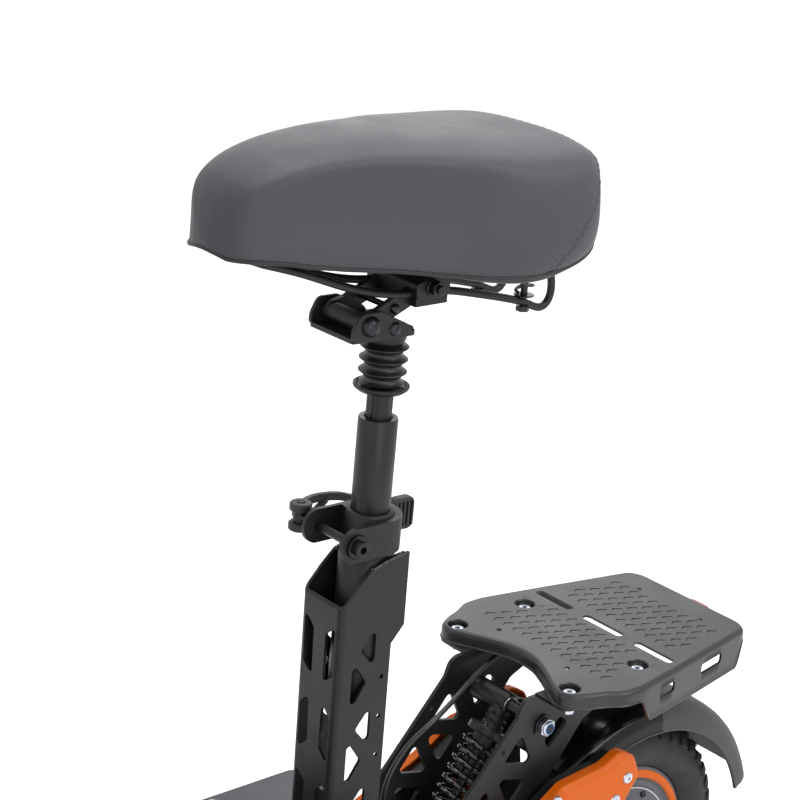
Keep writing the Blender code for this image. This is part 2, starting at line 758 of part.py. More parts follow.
def cover_outline():
    return [(-101, -113, 8), (-87, -97, 8), (-70, -88, 12), (-52, -98, 10), (12, -98, 14), (62, -144, 20),
            (125, -166, 10), (PIVOT[0] + 22, PIVOT[1] + 12, 18), (PIVOT[0] + 16, PIVOT[1] - 22, 16),
            (40, -232, 30), (AXLE[0] + 4, AXLE[1] - 24, 22), (AXLE[0] - 26, AXLE[1] - 8, 22),
            (AXLE[0] - 10, AXLE[1] + 26, 20), (-96, -200, 20), (-85, -144, 12)]


def swingarm_parts():
    outline = inset([corner[:2] for corner in cover_outline()], 6)
    arms = []
    for side in (-1, 1):
        low, high = sorted((side * ARM_IN, side * ARM_OUT))
        window = rounded([(-60, -130), (5, -130), (38, -160), (20, -170), (-20, -205), (-70, -190)], 12, 1)
        eye = circle(*AXLE, flat_radius(AXLE_R), 12)
        arms.append(prism(REAR, "xz", outline, low, high, [window, eye]))
    return arms


def swingarm():
    right, left = swingarm_parts()
    reach = ARM_IN + 3
    x, z = CROSS_TUBE
    cross = rod(REAR, (x, -reach, z), (x, reach, z), CROSS_R, 14)
    arm = joined(cross, right, left)
    for side in (-1, 1):
        x, z = SHOCK_FOOT
        lug = [(CROSS_TUBE[0], CROSS_TUBE[1] - 11), (x, z - 12)]
        lug += [(x + 12 * math.sin(math.pi * i / 4), z - 12 * math.cos(math.pi * i / 4)) for i in range(1, 4)]
        lug += [(x, z + 12), (CROSS_TUBE[0], CROSS_TUBE[1] + 11)]
        low, high = sorted((side * 19, side * 25))
        joined(arm, prism(REAR, "xz", lug, low, high))
        boss = rod(REAR, (PIVOT[0], side * (PLATE_OUT + CLEAR), PIVOT[1]),
                   (PIVOT[0], side * (ARM_IN + 2), PIVOT[1]), 14)
        joined(arm, boss)
    eye = (SHOCK_FOOT[0], -30, SHOCK_FOOT[1]), (SHOCK_FOOT[0], 30, SHOCK_FOOT[1])
    cut(arm, rod(REAR, *eye, SHOCK_BOLT_R + EYE_PLAY))
    return cut(arm, bore(REAR, (PIVOT[0], -90, PIVOT[1]), (PIVOT[0], 90, PIVOT[1]), PIVOT_BOLT_R))


def arm_cover(side):
    """A hollow shell with a sloping rim round its outward face."""
    outline = rounded(cover_outline(), 8, 1)

    def rings(levels):
        return [[(x, side * y, z) for x, z in inset(outline, by)] for y, by in levels]

    deep = COVER_IN + COVER_DEPTH
    shell = loft(REAR, rings([(COVER_IN, 0), (deep - COVER_RIM, 0), (deep, COVER_RIM)]))
    room = loft(REAR, rings([(COVER_IN - 3, COVER_WALL), (deep - COVER_RIM - 1, COVER_WALL),
                             (deep - COVER_WALL, COVER_RIM + COVER_WALL - 1)]))
    return cut(shell, room)


def fender():
    """The crowned shell over the tyre, turned about the axle, with a stay down to each arm."""
    half = [(FENDER_LIP_R, FENDER_HALF), (FENDER_LIP_R + 10, FENDER_HALF - 0.5),
            (FENDER_R - 11, FENDER_HALF - 5), (FENDER_R - 1, FENDER_FLAT), (FENDER_R, 0)]
    section = half + [(r, -y) for r, y in reversed(half[:-1])]
    narrower = 1 - FENDER_WALL / FENDER_HALF
    inner = [(r - FENDER_WALL * (0.3 if r < FENDER_R - 17 else 1), y * narrower) for r, y in section]
    count = 10
    rings = []
    for i in range(count):
        angle = math.radians(FENDER_FRONT + (FENDER_REAR - FENDER_FRONT) * i / (count - 1))
        ring = [(AXLE[0] + r * math.cos(angle), y, AXLE[1] + r * math.sin(angle)) for r, y in section]
        ring += [(AXLE[0] + r * math.cos(angle), y, AXLE[1] + r * math.sin(angle)) for r, y in reversed(inner)]
        rings.append(ring)
    shell = loft(REAR, rings)
    stay = math.radians(60.7)
    x = AXLE[0] + (FENDER_LIP_R + 5) * math.cos(stay)
    z = AXLE[1] + (FENDER_LIP_R + 5) * math.sin(stay)
    for side in (-1, 1):
        low, high = sorted((side * (FENDER_HALF - 2.2), side * (ARM_IN - CLEAR)))
        joined(shell, block(REAR, (x - 8, low, z - 11), (x + 8, high, z + 11)))
    return shell


def spring_points(start, direction, radius, turns, length, points_a_turn=8):
    """A helix with a straight lead at each end, along a direction in the XZ plane."""
    along = Vector((direction[0], 0, direction[1])).normalized()
    across = Vector((along.z, 0, -along.x))
    other = Vector((0, 1, 0))
    base = Vector((start[0], 0, start[1]))
    count = turns * points_a_turn
    made = []
    for i in range(count + 1):
        angle = 2 * math.pi * i / points_a_turn
        outward = across * math.cos(angle) + other * math.sin(angle)
        made.append(base + along * (length * i / count) + outward * radius)
    return made


def least_gap(points, wire, skip):
    """The least space between one turn of a wire and the next."""
    least = min((points[i] - points[j]).length for i in range(len(points)) for j in range(i + skip, len(points)))
    return least - 2 * wire


def build_rear_suspension():
    swing = axis_empty("swingarm_axis", REAR, *PIVOT)
    spin = axis_empty("rear_wheel_axis", REAR, *AXLE)
    part("swingarm", swingarm(), BLACK, swing)
    bolt = rod(REAR, (PIVOT[0], -80, PIVOT[1]), (PIVOT[0], 80, PIVOT[1]), PIVOT_BOLT_R)
    for side in (-1, 1):
        joined(bolt, rod(REAR, (PIVOT[0], side * COVER_IN, PIVOT[1]), (PIVOT[0], side * 79, PIVOT[1]), 11, 6))
    part("pivot_bolt", bolt, STEEL)
    part("arm_cover_left", arm_cover(1), ORANGE, swing)
    part("arm_cover_right", arm_cover(-1), ORANGE, swing)
    axle = rod(REAR, (AXLE[0], -80, AXLE[1]), (AXLE[0], 80, AXLE[1]), AXLE_R)
    for side in (-1, 1):
        joined(axle, rod(REAR, (AXLE[0], side * (HUB_HALF + CLEAR), AXLE[1]),
                         (AXLE[0], side * (ARM_IN - CLEAR), AXLE[1]), 11, 10))
        joined(axle, rod(REAR, (AXLE[0], side * COVER_IN, AXLE[1]), (AXLE[0], side * 79, AXLE[1]), 10, 6))
    part("rear_axle", axle, STEEL, swing)
    part("rear_fender", fender(), BLACK, swing)
    part("brake_caliper", caliper(), ALLOY, swing)
    wheel("rear", REAR, (AXLE[0], 0, AXLE[1]), spin)
    ring = [(60, 37), (60, 35), (HUB_BOSS_R + 1, 35), (HUB_BOSS_R + 1, 37)]
    part("brake_disc", turned(REAR, ring, (AXLE[0], 0, AXLE[1]), "Y", 24), STEEL, spin)
    build_shock(swing)


def caliper():
    x = AXLE[0] + 60
    z = AXLE[1] + 14
    body = block(REAR, (x - 15, 31.5, z - 17), (x + 17, ARM_IN - CLEAR, z + 17), 3)
    gap = rod(REAR, (AXLE[0], 33.8, AXLE[1]), (AXLE[0], 38.2, AXLE[1]), 62, 40)
    return cut(body, gap)


def build_shock(swing):
    top = Vector((SHOCK_TOP[0], 0, SHOCK_TOP[1]))
    foot = Vector((SHOCK_FOOT[0], 0, SHOCK_FOOT[1]))
    along = (foot - top).normalized()
    tilt = axis_empty("shock_top_axis", REAR, *SHOCK_TOP)
    length = (foot - top).length

    def on_axis(distance, y=0.0):
        place = top + along * distance
        return (place.x, y, place.z)

    eye = rod(REAR, on_axis(0, -18), on_axis(0, 14), SHOCK_EYE_R, 14)
    joined(eye, rod(REAR, on_axis(5), on_axis(30), 12.5, 14))
    joined(eye, rod(REAR, on_axis(28), on_axis(36), COIL_R + 3, 14))
    joined(eye, rod(REAR, on_axis(34), on_axis(80), 12, 14))
    cut(eye, bore(REAR, on_axis(0, -30), on_axis(0, 30), SHOCK_BOLT_R, 12))
    cut(eye, bore(REAR, on_axis(60), on_axis(90), 5, 12))
    part("shock_body", eye, BLACK, tilt)
    rod_end = rod(REAR, on_axis(length, -18.6), on_axis(length, 18.6), SHOCK_EYE_R, 14)
    joined(rod_end, rod(REAR, on_axis(length - 5), on_axis(length - 30), 11, 14))
    joined(rod_end, rod(REAR, on_axis(length - 40), on_axis(length - 28), COIL_R + 3, 14))
    joined(rod_end, rod(REAR, on_axis(70), on_axis(length - 30), 5, 12))
    joined(rod_end, rod(REAR, on_axis(length, -28), on_axis(length, 14), SHOCK_BOLT_R, 12))
    part("shock_rod", rod_end, STEEL, tilt)
    start = top + along * (36 + CLEAR + COIL_WIRE)
    reach = length - 40 - 36 - 2 * (CLEAR + COIL_WIRE)
    points = spring_points((start.x, start.z), (along.x, along.z), COIL_R, COIL_TURNS, reach)
    print("shock spring: least gap to itself", round(least_gap(points, COIL_WIRE, 5), 2), "mm")
    part("shock_spring", pipe(REAR, points, COIL_WIRE, 1), BLACK, tilt, 80)


# Post and saddle

def boot():
    """A rubber bellows of three ribs between the cup and the head."""
    ribs = 3
    low = CUP_TOP + CLEAR
    high = BOOT_TOP - CLEAR
    pitch = (high - low) / ribs
    outer = []
    for k in range(ribs):
        outer += [(BOOT_R - 6, high - k * pitch), (BOOT_R, high - (k + 0.5) * pitch)]
    outer.append((BOOT_R - 6, low))
    bore = [(HEAD_ROD_R + 2, low), (HEAD_ROD_R + 2, high)]
    return turned(POST, outer + bore, sides=20)


def build_post(slide):
    inner = flat_radius(CORE_R, 20)
    tube = turned(POST, [(POST_R, POST_TOP), (POST_R, POST_FOOT), (inner, POST_FOOT), (inner, POST_TOP)])
    part("seat_post", tube, BLACK, slide)
    core = rod(POST, (0, 0, POST_TOP - 90), (0, 0, CUP_FOOT + 2), CORE_R, 10)
    cup = turned(POST, [(0, CUP_TOP), (CUP_LIP_R, CUP_TOP), (CUP_LIP_R, CUP_TOP - 3),
                        (CUP_LIP_R - 5, CUP_FOOT), (0, CUP_FOOT)], closed=False)
    joined(core, cup)
    cut(core, bore(POST, (0, 0, POST_TOP - 60), (0, 0, CUP_TOP + 20), HEAD_ROD_R, 12))
    part("post_core", core, ALLOY, slide)
    sink = axis_empty("suspension_axis", POST, 0, CUP_TOP)
    part("post_bellows", boot(), RUBBER, sink, 60)
    return sink


def build_head(sink):
    """The forked head on the sprung rod, and the pin that the saddle tilts on."""
    px, pz = in_post(*PIN)
    shaft = rod(POST, (0, 0, POST_TOP - 45), (0, 0, HEAD_FOOT + 2), HEAD_ROD_R, 12)
    joined(shaft, rod(POST, (0, 0, BOOT_TOP), (0, 0, HEAD_FOOT + 1), 18, 14))
    joined(shaft, block(POST, (-12, -30, HEAD_FOOT), (px + 20, 30, HEAD_FOOT + 4)))
    for side in (-1, 1):
        low, high = sorted((side * 26, side * 29.9))
        cheek = [(-6, HEAD_FOOT + 1), (px + 18, HEAD_FOOT + 1), (px + 17, HEAD_FOOT + 12), (px + 11, pz + 12),
                 (px - 10, pz + 12), (4, HEAD_FOOT + 12)]
        joined(shaft, prism(POST, "xz", rounded(cheek, 8, 1), low, high))
    cut(shaft, bore(POST, (px, -40, pz), (px, 40, pz), PIN_R))
    part("saddle_bracket", shaft, BLACK, sink)
    pin = rod(POST, (px, -34, pz), (px, 34, pz), PIN_R)
    for side in (-1, 1):
        joined(pin, rod(POST, (px, side * 30.2, pz), (px, side * 34, pz), 8, 16, 5.5))
    part("pivot_pin", pin, STEEL, sink)


SADDLE_STATIONS = (
    # x, half width, top, hem, measured from the tilt pin
    (-201, 44, 130, 82), (-196, 68, 140, 75), (-186, 88, 146, 68), (-171, 103, 150, 61),
    (-151, 110, 151, 54), (-124, 111, 152, 48), (-96, 108, 153, 47), (-64, 99, 155, 50),
    (-33, 85, 156, 56), (1, 73, 157, 63), (35, 63, 156, 69), (71, 55, 152, 74), (103, 48, 144, 75),
    (126, 40, 133, 73), (138, 31, 120, 71), (145, 17, 104, 73),
)


def saddle_ring(x, half, top, hem):
    """One section of the cushion: flat below, drawn in above the hem, then a wide crown."""
    rise = top - hem
    side = [(0.55, 0), (0.94, 0), (1.0, 0.05), (0.985, 0.22), (0.97, 0.42), (0.965, 0.7), (0.93, 0.83),
            (0.8, 0.9), (0.5, 0.98), (0.0, 1.0)]
    ring = [(x, half * w, hem + rise * h) for w, h in side]
    return [(x, 0, hem)] + ring + [(x, -y, z) for _, y, z in reversed(ring[:-1])]


def saddle_pan_ring(x, half, hem):
    wide = max(half - 9, 10)
    low = hem - 6
    high = hem - CLEAR
    under = [(x, -wide, high), (x, -wide + 4, low), (x, 0, low - 2), (x, wide - 4, low), (x, wide, high)]
    return [*under, (x, 0, high)]


def build_saddle(tilt):
    cushion = loft(SEAT, [saddle_ring(*station) for station in SADDLE_STATIONS])
    part("saddle_cushion", cushion, LEATHER, tilt, 60)
    stations = SADDLE_STATIONS[1:-2]
    pan = loft(SEAT, [saddle_pan_ring(x, half, hem) for x, half, top, hem in stations])
    for side in (-1, 1):
        y = side * RAIL_REAR_HALF
        pad = block(SEAT, (SPRING_BACK - 17, y - 9, SPRING_TOP), (SPRING_BACK + 12, y + 9, SPRING_TOP + 9))
        joined(pan, pad)
    part("saddle_pan", pan, PLASTIC, tilt)


def rail_path(side):
    """The wire on one side, from the saddle's nose to its rear loop and up to the pan."""
    y = side * RAIL_HALF
    wide = side * RAIL_REAR_HALF
    return smooth_path([(103, side * 14, 61), (71, y, 52), (16, y, 32), (-29, y, 22), (-79, y, 19),
                        (-124, (y + wide) / 2, 10), (-164, wide, 0), (-190, wide, -9), (-201, wide, 2),
                        (-197, wide, 26), (-182, wide, SPRING_TOP - 4)], 2)


def build_rails(tilt):
    near = rail_path(1)
    far = [Vector((p.x, -p.y, p.z)) for p in near]
    wire = pipe(SEAT, list(reversed(far))[:-1] + [Vector((107, 0, 62.3))] + near[1:], RAIL_R, 1)
    part("saddle_rail", wire, BLACK, tilt)
    half = RAIL_HALF + 7
    clamp = block(SEAT, (-79, -half, 11), (-45, half, 29), 2)
    for side in (-1, 1):
        held = (near if side > 0 else far)[6:12]
        cut(clamp, pipe(SEAT, held, RAIL_R + 2 * CLEAR, 2))
    arm = [(-53, 13), (-6, -8.5), (5, -8), (9, 0), (5, 8), (-8, 10), (-49, 27)]
    joined(clamp, prism(SEAT, "xz", arm, -17, 17))
    cut(clamp, bore(SEAT, (0, -40, 0), (0, 40, 0), PIN_R, 12))
    part("rail_clamp", clamp, BLACK, tilt)
    for side, name in ((1, "saddle_spring_left"), (-1, "saddle_spring_right")):
        part(name, pipe(SEAT, saddle_spring(side * RAIL_REAR_HALF), COIL_SMALL, 1), STEEL, tilt, 80)


def saddle_spring(y):
    """Three turns between the rail and the pan's pad."""
    low = RAIL_R + 3 * CLEAR + COIL_SMALL
    high = SPRING_TOP - CLEAR - COIL_SMALL
    count = 3 * 8
    angles = [2 * math.pi * i / 8 for i in range(count + 1)]
    return [Vector((SPRING_BACK + 7 * math.cos(a), y + 7 * math.sin(a), low + (high - low) * i / count))
            for i, a in enumerate(angles)]


# Fork, stem and handlebar

def build_fork():
    steer = axis_empty("steering_joint", FRONT, 0, HEAD_FOOT_S)
    slide = axis_empty("fork_slide_joint", FRONT, 0, 0)
    spin = axis_empty("front_wheel_axis", FRONT, 0, 0)
    top = CROWN_FOOT + CROWN_T
    crown = block(FRONT, (-19, -FORK_HALF - 16, CROWN_FOOT), (19, FORK_HALF + 16, top), 6)
    joined(crown, rod(FRONT, (0, 0, CROWN_FOOT + 5), (0, 0, 378), STEERER_R, 14))
    for side in (-1, 1):
        y = side * FORK_HALF
        joined(crown, rod(FRONT, (0, y, 60), (0, y, CROWN_FOOT + 5), STANCHION_R, 14))
    part("fork_crown", crown, BLACK, steer)
    for side, name in ((1, "fork_slider_left"), (-1, "fork_slider_right")):
        y = side * FORK_HALF
        profile = [(0, 165), (SLIDER_R, 165), (SLIDER_R, -16), (SLIDER_R - 4, -20), (0, -20)]
        leg = turned(FRONT, profile, (0, y, 0), sides=14, closed=False)
        cut(leg, bore(FRONT, (0, y, 20), (0, y, 200), STANCHION_R, 12))
        cut(leg, bore(FRONT, (0, y - 40, 0), (0, y + 40, 0), AXLE_R, 12))
        part(name, leg, ALLOY, slide)
    axle = rod(FRONT, (0, -90, 0), (0, 90, 0), AXLE_R)
    for side in (-1, 1):
        edge = FORK_HALF + SLIDER_R + CLEAR
        inner, outer = side * (HUB_HALF + CLEAR), side * (FORK_HALF - SLIDER_R - CLEAR)
        joined(axle, rod(FRONT, (0, side * edge, 0), (0, side * (edge + 6), 0), 10, 6))
        joined(axle, rod(FRONT, (0, inner, 0), (0, outer, 0), 11, 10))
    part("front_axle", axle, STEEL, slide)
    part("front_fender", front_fender(), BLACK, slide)
    wheel("front", FRONT, (0, 0, 0), spin)
    return steer


def front_fender():
    radius = TYRE_R + FRONT_FENDER_GAP
    half = [(radius - 13, 36), (radius - 4, 33), (radius - 1, 18), (radius, 0)]
    section = half + [(r, -y) for r, y in reversed(half[:-1])]
    inner = [(r - 2, y * 0.94) for r, y in section]
    rings = []
    count = 9
    for i in range(count):
        angle = math.radians(48 + 100 * i / (count - 1))
        ring = [(r * math.cos(angle), y, r * math.sin(angle)) for r, y in section + inner[::-1]]
        rings.append(ring)
    shell = loft(FRONT, rings)
    for side in (-1, 1):
        low, high = sorted((side * 34.5, side * (FORK_HALF - SLIDER_R - CLEAR)))
        joined(shell, block(FRONT, (-8, low, radius - 21), (8, high, radius - 7)))
    return shell


def build_stem(steer):
    fold = axis_empty("stem_fold_joint", FRONT, STEM_HINGE_X, STEM_JOINT)
    latch = axis_empty("stem_latch_joint", FRONT, -34, STEM_JOINT - 16)
    foot = HEAD_TOP_S + CLEAR
    base = rod(FRONT, (0, 0, foot), (0, 0, STEM_JOINT - 20), 22, 14)
    joined(base, block(FRONT, (-26, -24, STEM_JOINT - 26), (24, 24, STEM_JOINT)))
    cut(base, bore(FRONT, (0, 0, foot - 10), (0, 0, 379), STEERER_R, 12))
    for side in (-1, 1):
        low, high = sorted((side * 12, side * 23))
        ear = [(18, STEM_JOINT - 24), (STEM_HINGE_X + 3, STEM_JOINT - 9), (STEM_HINGE_X + 9, STEM_JOINT),
               (STEM_HINGE_X, STEM_JOINT + 9), (STEM_HINGE_X - 8.5, STEM_JOINT), (18, STEM_JOINT - 3)]
        joined(base, prism(FRONT, "xz", ear, low, high))
        low, high = sorted((side * 11.5, side * 17))
        ear = [(-22, STEM_JOINT - 24), (-36, STEM_JOINT - 24), (-41, STEM_JOINT - 16), (-36, STEM_JOINT - 8),
               (-22, STEM_JOINT - 6)]
        joined(base, prism(FRONT, "xz", ear, low, high))
    cut(base, bore(FRONT, (-34, -30, STEM_JOINT - 16), (-34, 30, STEM_JOINT - 16), 3, 12))
    cut(base, bore(FRONT, (STEM_HINGE_X, -30, STEM_JOINT), (STEM_HINGE_X, 30, STEM_JOINT), 4, 12))
    part("stem_base", base, BLACK, steer)
    upper = block(FRONT, (-26, -24, STEM_JOINT + 0.4), (24, 24, STEM_JOINT + 26))
    knuckle = rod(FRONT, (STEM_HINGE_X, -11.7, STEM_JOINT), (STEM_HINGE_X, 11.7, STEM_JOINT), 8.5, 14)
    web = [(20, STEM_JOINT + 1), (STEM_HINGE_X, STEM_JOINT + 1), (STEM_HINGE_X + 7, STEM_JOINT + 3),
           (20, STEM_JOINT + 22)]
    joined(upper, prism(FRONT, "xz", web, -11.5, 11.5), knuckle)
    joined(upper, rod(FRONT, (0, 0, STEM_JOINT + 20), (0, 0, BAR_S - BAR_R - 3), STEM_R, 14))
    joined(upper, rod(FRONT, (0, -28, BAR_S), (0, 28, BAR_S), BAR_R + 6, 14))
    joined(upper, rod(FRONT, (STEM_HINGE_X, -22.6, STEM_JOINT), (STEM_HINGE_X, 22.6, STEM_JOINT), 4, 14))
    cut(upper, bore(FRONT, (0, -60, BAR_S), (0, 60, BAR_S), BAR_R, 12))
    part("stem_tube", upper, BLACK, fold)
    lever = prism(FRONT, "xz", rounded([(-38, STEM_JOINT - 22), (-30, STEM_JOINT - 20), (-29, STEM_JOINT - 4),
                                        (-28, STEM_JOINT + 55), (-36, STEM_JOINT + 66), (-37, STEM_JOINT)], 3, 1),
                  -10.5, 10.5)
    joined(lever, rod(FRONT, (-34, -16.8, STEM_JOINT - 16), (-34, 16.8, STEM_JOINT - 16), 3, 14))
    part("stem_latch", lever, ORANGE, latch)
    build_controls(fold)


def build_controls(fold):
    bar = rod(FRONT, (0, -BAR_HALF, BAR_S), (0, BAR_HALF, BAR_S), BAR_R, 14)
    for side in (-1, 1):
        y = side * LEVER_Y
        joined(bar, rod(FRONT, (0, y - 9, BAR_S), (0, y + 9, BAR_S), 15.5, 14))
        joined(bar, block(FRONT, (10, y - 8, BAR_S - 9), (40, y + 8, BAR_S - 4.5)))
        joined(bar, block(FRONT, (10, y - 8, BAR_S + 4.5), (40, y + 8, BAR_S + 9)))
    part("handlebar", bar, BLACK, fold)
    for side, name in ((1, "left"), (-1, "right")):
        inner = side * (BAR_HALF - GRIP_LENGTH)
        outer = side * (BAR_HALF + 4)
        grip = rod(FRONT, (0, inner, BAR_S), (0, outer, BAR_S), GRIP_R, 14)
        cut(grip, bore(FRONT, (0, inner - side * 10, BAR_S), (0, side * (BAR_HALF + CLEAR), BAR_S), BAR_R, 12))
        part("grip_" + name, grip, RUBBER, fold)
        y = side * LEVER_Y
        pivot = axis_empty("brake_lever_joint_" + name, FRONT, 32, BAR_S, y)
        lever = rod(FRONT, (32, y, BAR_S - 4.2), (32, y, BAR_S + 4.2), 7, 14)
        blade = pipe(FRONT, smooth_path([(34, y + side * 2, BAR_S), (46, y + side * 22, BAR_S),
                                         (52, y + side * 60, BAR_S), (54, y + side * 112, BAR_S)], 2), 4, 1)
        part("brake_lever_" + name, joined(lever, blade), ALLOY, pivot)
    turn = axis_empty("throttle_joint", FRONT, 0, BAR_S)
    y = -BAR_HALF + GRIP_LENGTH + CLEAR
    profile = [(15, 5), (15, -5), (BAR_R + CLEAR, -5), (BAR_R + CLEAR, 5)]
    ring = turned(FRONT, profile, (0, y + 6, BAR_S), "Y", 16)
    joined(ring, block(FRONT, (-34, y + 2, BAR_S - 12), (-13, y + 10, BAR_S - 5)))
    part("throttle", ring, PLASTIC, turn)
    screen = block(FRONT, (-22, -38, BAR_S + BAR_R + 6 + CLEAR), (26, 38, BAR_S + BAR_R + 22), 4)
    part("display", screen, PLASTIC, fold)


# Centre stand and cable

def build_stand():
    joint = axis_empty("centre_stand_joint", REAR, *STAND_PIVOT)
    x, z = STAND_PIVOT
    foot = GROUND + STAND_R + 1.5
    legs = pipe(REAR, [(STAND_FOOT_X, -STAND_HALF, foot), (x - 6, -STAND_HALF, z - 16), (x, -STAND_HALF + 6, z),
                       (x, STAND_HALF - 6, z), (x - 6, STAND_HALF, z - 16), (STAND_FOOT_X, STAND_HALF, foot)],
                STAND_R, 3)
    for side in (-1, 1):
        y = side * STAND_HALF
        low, high = (STAND_FOOT_X - 14, y - 9, GROUND), (STAND_FOOT_X + 16, y + 9, GROUND + 14)
        joined(legs, block(REAR, low, high, 2))
    part("centre_stand", legs, BLACK, joint)


def build_cable():
    route = [(-12, 14, -30), (22, 20, -23), (55, 10, -27), (94, 2, -41), (123, 0, -59), (143, 0, -85),
             (149, 0, -112), (150, 0, -136), (156, 0, -153), (TUB_REAR - 2 * CLEAR, 0, -156)]
    part("motor_cable", pipe(REAR, smooth_path(route, 2), 2.5, 1), RUBBER)


def build():
    build_deck()
    build_column()
    build_rear_frame()
    build_rear_suspension()
    slide = axis_empty("seat_height_axis", POST, 0, POST_TOP)
    sink = build_post(slide)
    build_head(sink)
    tilt = axis_empty("saddle_tilt_axis", SEAT, 0, 0)
    build_saddle(tilt)
    build_rails(tilt)
    steer = build_fork()
    build_stem(steer)
    build_stand()
    build_cable()


build()
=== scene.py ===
# %% [markdown]
# # A folding electric scooter with a sprung saddle
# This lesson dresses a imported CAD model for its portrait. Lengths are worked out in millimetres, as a
# drawing gives them, and are turned into metres once.

import math

import bmesh
import bpy
import numpy as np
from mathutils import Matrix, Vector
from mathutils.bvhtree import BVHTree


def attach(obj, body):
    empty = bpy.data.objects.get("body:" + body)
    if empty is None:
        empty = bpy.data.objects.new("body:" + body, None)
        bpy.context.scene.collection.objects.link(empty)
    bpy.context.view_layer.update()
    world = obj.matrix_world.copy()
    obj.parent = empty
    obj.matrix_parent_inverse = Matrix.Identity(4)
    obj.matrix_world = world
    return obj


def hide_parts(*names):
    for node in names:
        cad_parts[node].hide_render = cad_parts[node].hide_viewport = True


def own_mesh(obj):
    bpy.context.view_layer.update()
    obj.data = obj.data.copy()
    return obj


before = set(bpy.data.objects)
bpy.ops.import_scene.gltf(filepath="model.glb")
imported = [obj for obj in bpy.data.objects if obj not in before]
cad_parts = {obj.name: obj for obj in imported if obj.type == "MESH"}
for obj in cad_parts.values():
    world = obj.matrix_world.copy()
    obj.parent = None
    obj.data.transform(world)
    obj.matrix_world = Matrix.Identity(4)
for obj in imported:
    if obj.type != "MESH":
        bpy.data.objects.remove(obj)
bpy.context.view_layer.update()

# %% [markdown]
# The scooter is drawn in four frames. The rear half is measured from the luggage rack's front bolts, the
# seat post along its own axis, which leans back by a degree, the saddle from the pin that it tilts on, and
# the fork, stem and handlebar along the steering axis. A matrix for each turns drawing millimetres into
# the scooter's metres. The bolts and axles that several pieces share are named here too.

# %% The four drawing frames
MM = 0.001
POST_X, POST_LEAN = 193.1, math.radians(0.934)
PIN_X, PIN_Z = 229, 366
REAR = Matrix.Translation((-0.318383, 0, 0.412)) @ Matrix.Scale(MM, 4)
POST = REAR @ Matrix.Translation((POST_X, 0, 0)) @ Matrix.Rotation(-POST_LEAN, 4, "Y")
SEAT = REAR @ Matrix.Translation((PIN_X, 0, PIN_Z))
FRONT = (Matrix.Translation((0.504617, 0, 0.15)) @ Matrix.Rotation(math.radians(-12), 4, "Y")
         @ Matrix.Scale(MM, 4))
TO_REAR = REAR.inverted() @ FRONT

SIDES = ((1, "left"), (-1, "right"))
RACK_BOLTS = [(x, side * 78) for x in (0, -90) for side in (-1, 1)]
SHOCK_TOP, SHOCK_FOOT = Vector((4, 0, -49)), Vector((94, 0, -188))
REAR_AXLE, ARM_PIVOT, STAND_PIVOT = (-157, -262), (146, -190), (232, -236)
LEG_Y, BAR_Z, PERCH_Y = 62, 1000, 142
STEM_HINGE, LATCH_PIN = (34, 430), (-34, 414)

# %% [markdown]
# The photograph was taken with a long lens from the front left, a little above the rack. The camera's
# place and its three angles were found from points whose places on the scooter are known, such as the
# rack's bolts. The sensor is square, so the frame is as wide as it is high.

# %% The camera
YAW, PITCH, ROLL = (math.radians(a) for a in (41.337, 19.128, 4.436))
ahead = Vector((-math.sin(YAW), -math.cos(YAW), 0)) * math.cos(PITCH) - Vector((0, 0, math.sin(PITCH)))
level = ahead.cross(Vector((0, 0, 1))).normalized()
upright = level.cross(ahead)
right = level * math.cos(ROLL) + upright * math.sin(ROLL)
up = upright * math.cos(ROLL) - level * math.sin(ROLL)
camera = bpy.data.objects.new("camera", bpy.data.cameras.new("camera"))
camera.data.lens = 90
camera.data.sensor_width = 36
camera.data.clip_end = 50
turn = Matrix((right, up, -ahead)).transposed().to_4x4()
camera.matrix_world = Matrix.Translation((0.90528, 1.20250, 1.25112)) @ turn
bpy.context.collection.objects.link(camera)
bpy.context.scene.camera = camera
bpy.context.scene.view_settings.view_transform = "Standard"

# %% [markdown]
# Colours are picked as sRGB hex values, as a paint chart or an image editor gives them. Blender's shaders
# work on linear light, so one function converts them. Another adds a node with its settings and links,
# and each material is then written as a short recipe.

# %% Colour and nodes
def linear(hexcode):
    """An sRGB hex colour as linear red, green, blue and alpha."""
    made = []
    for i in (1, 3, 5):
        value = int(hexcode[i:i + 2], 16) / 255
        made.append(value / 12.92 if value <= 0.04045 else ((value + 0.055) / 1.055) ** 2.4)
    return (*made, 1.0)


def add(tree, kind, inputs=(), **settings):
    """A node of this kind, with its settings, and its inputs given as values or as other nodes' outputs."""
    made = tree.nodes.new(kind)
    for name, value in settings.items():
        setattr(made, name, value)
    for name, value in dict(inputs).items():
        if isinstance(value, bpy.types.NodeSocket):
            tree.links.new(value, made.inputs[name])
        else:
            made.inputs[name].default_value = value
    return made


def surface(name, **sockets):
    """A material with a bare Principled shader, whose constant sockets are set by name."""
    made = bpy.data.materials.new(name)
    made.use_nodes = True
    shader = made.node_tree.nodes["Principled BSDF"]
    for socket, value in sockets.items():
        shader.inputs[socket.replace("_", " ")].default_value = value
    return made, made.node_tree, shader


# A Mix node's float, vector and colour sockets share their names, so they go by number.
FACTOR, COLOUR_A, COLOUR_B, COLOUR_OUT = 0, 6, 7, 2


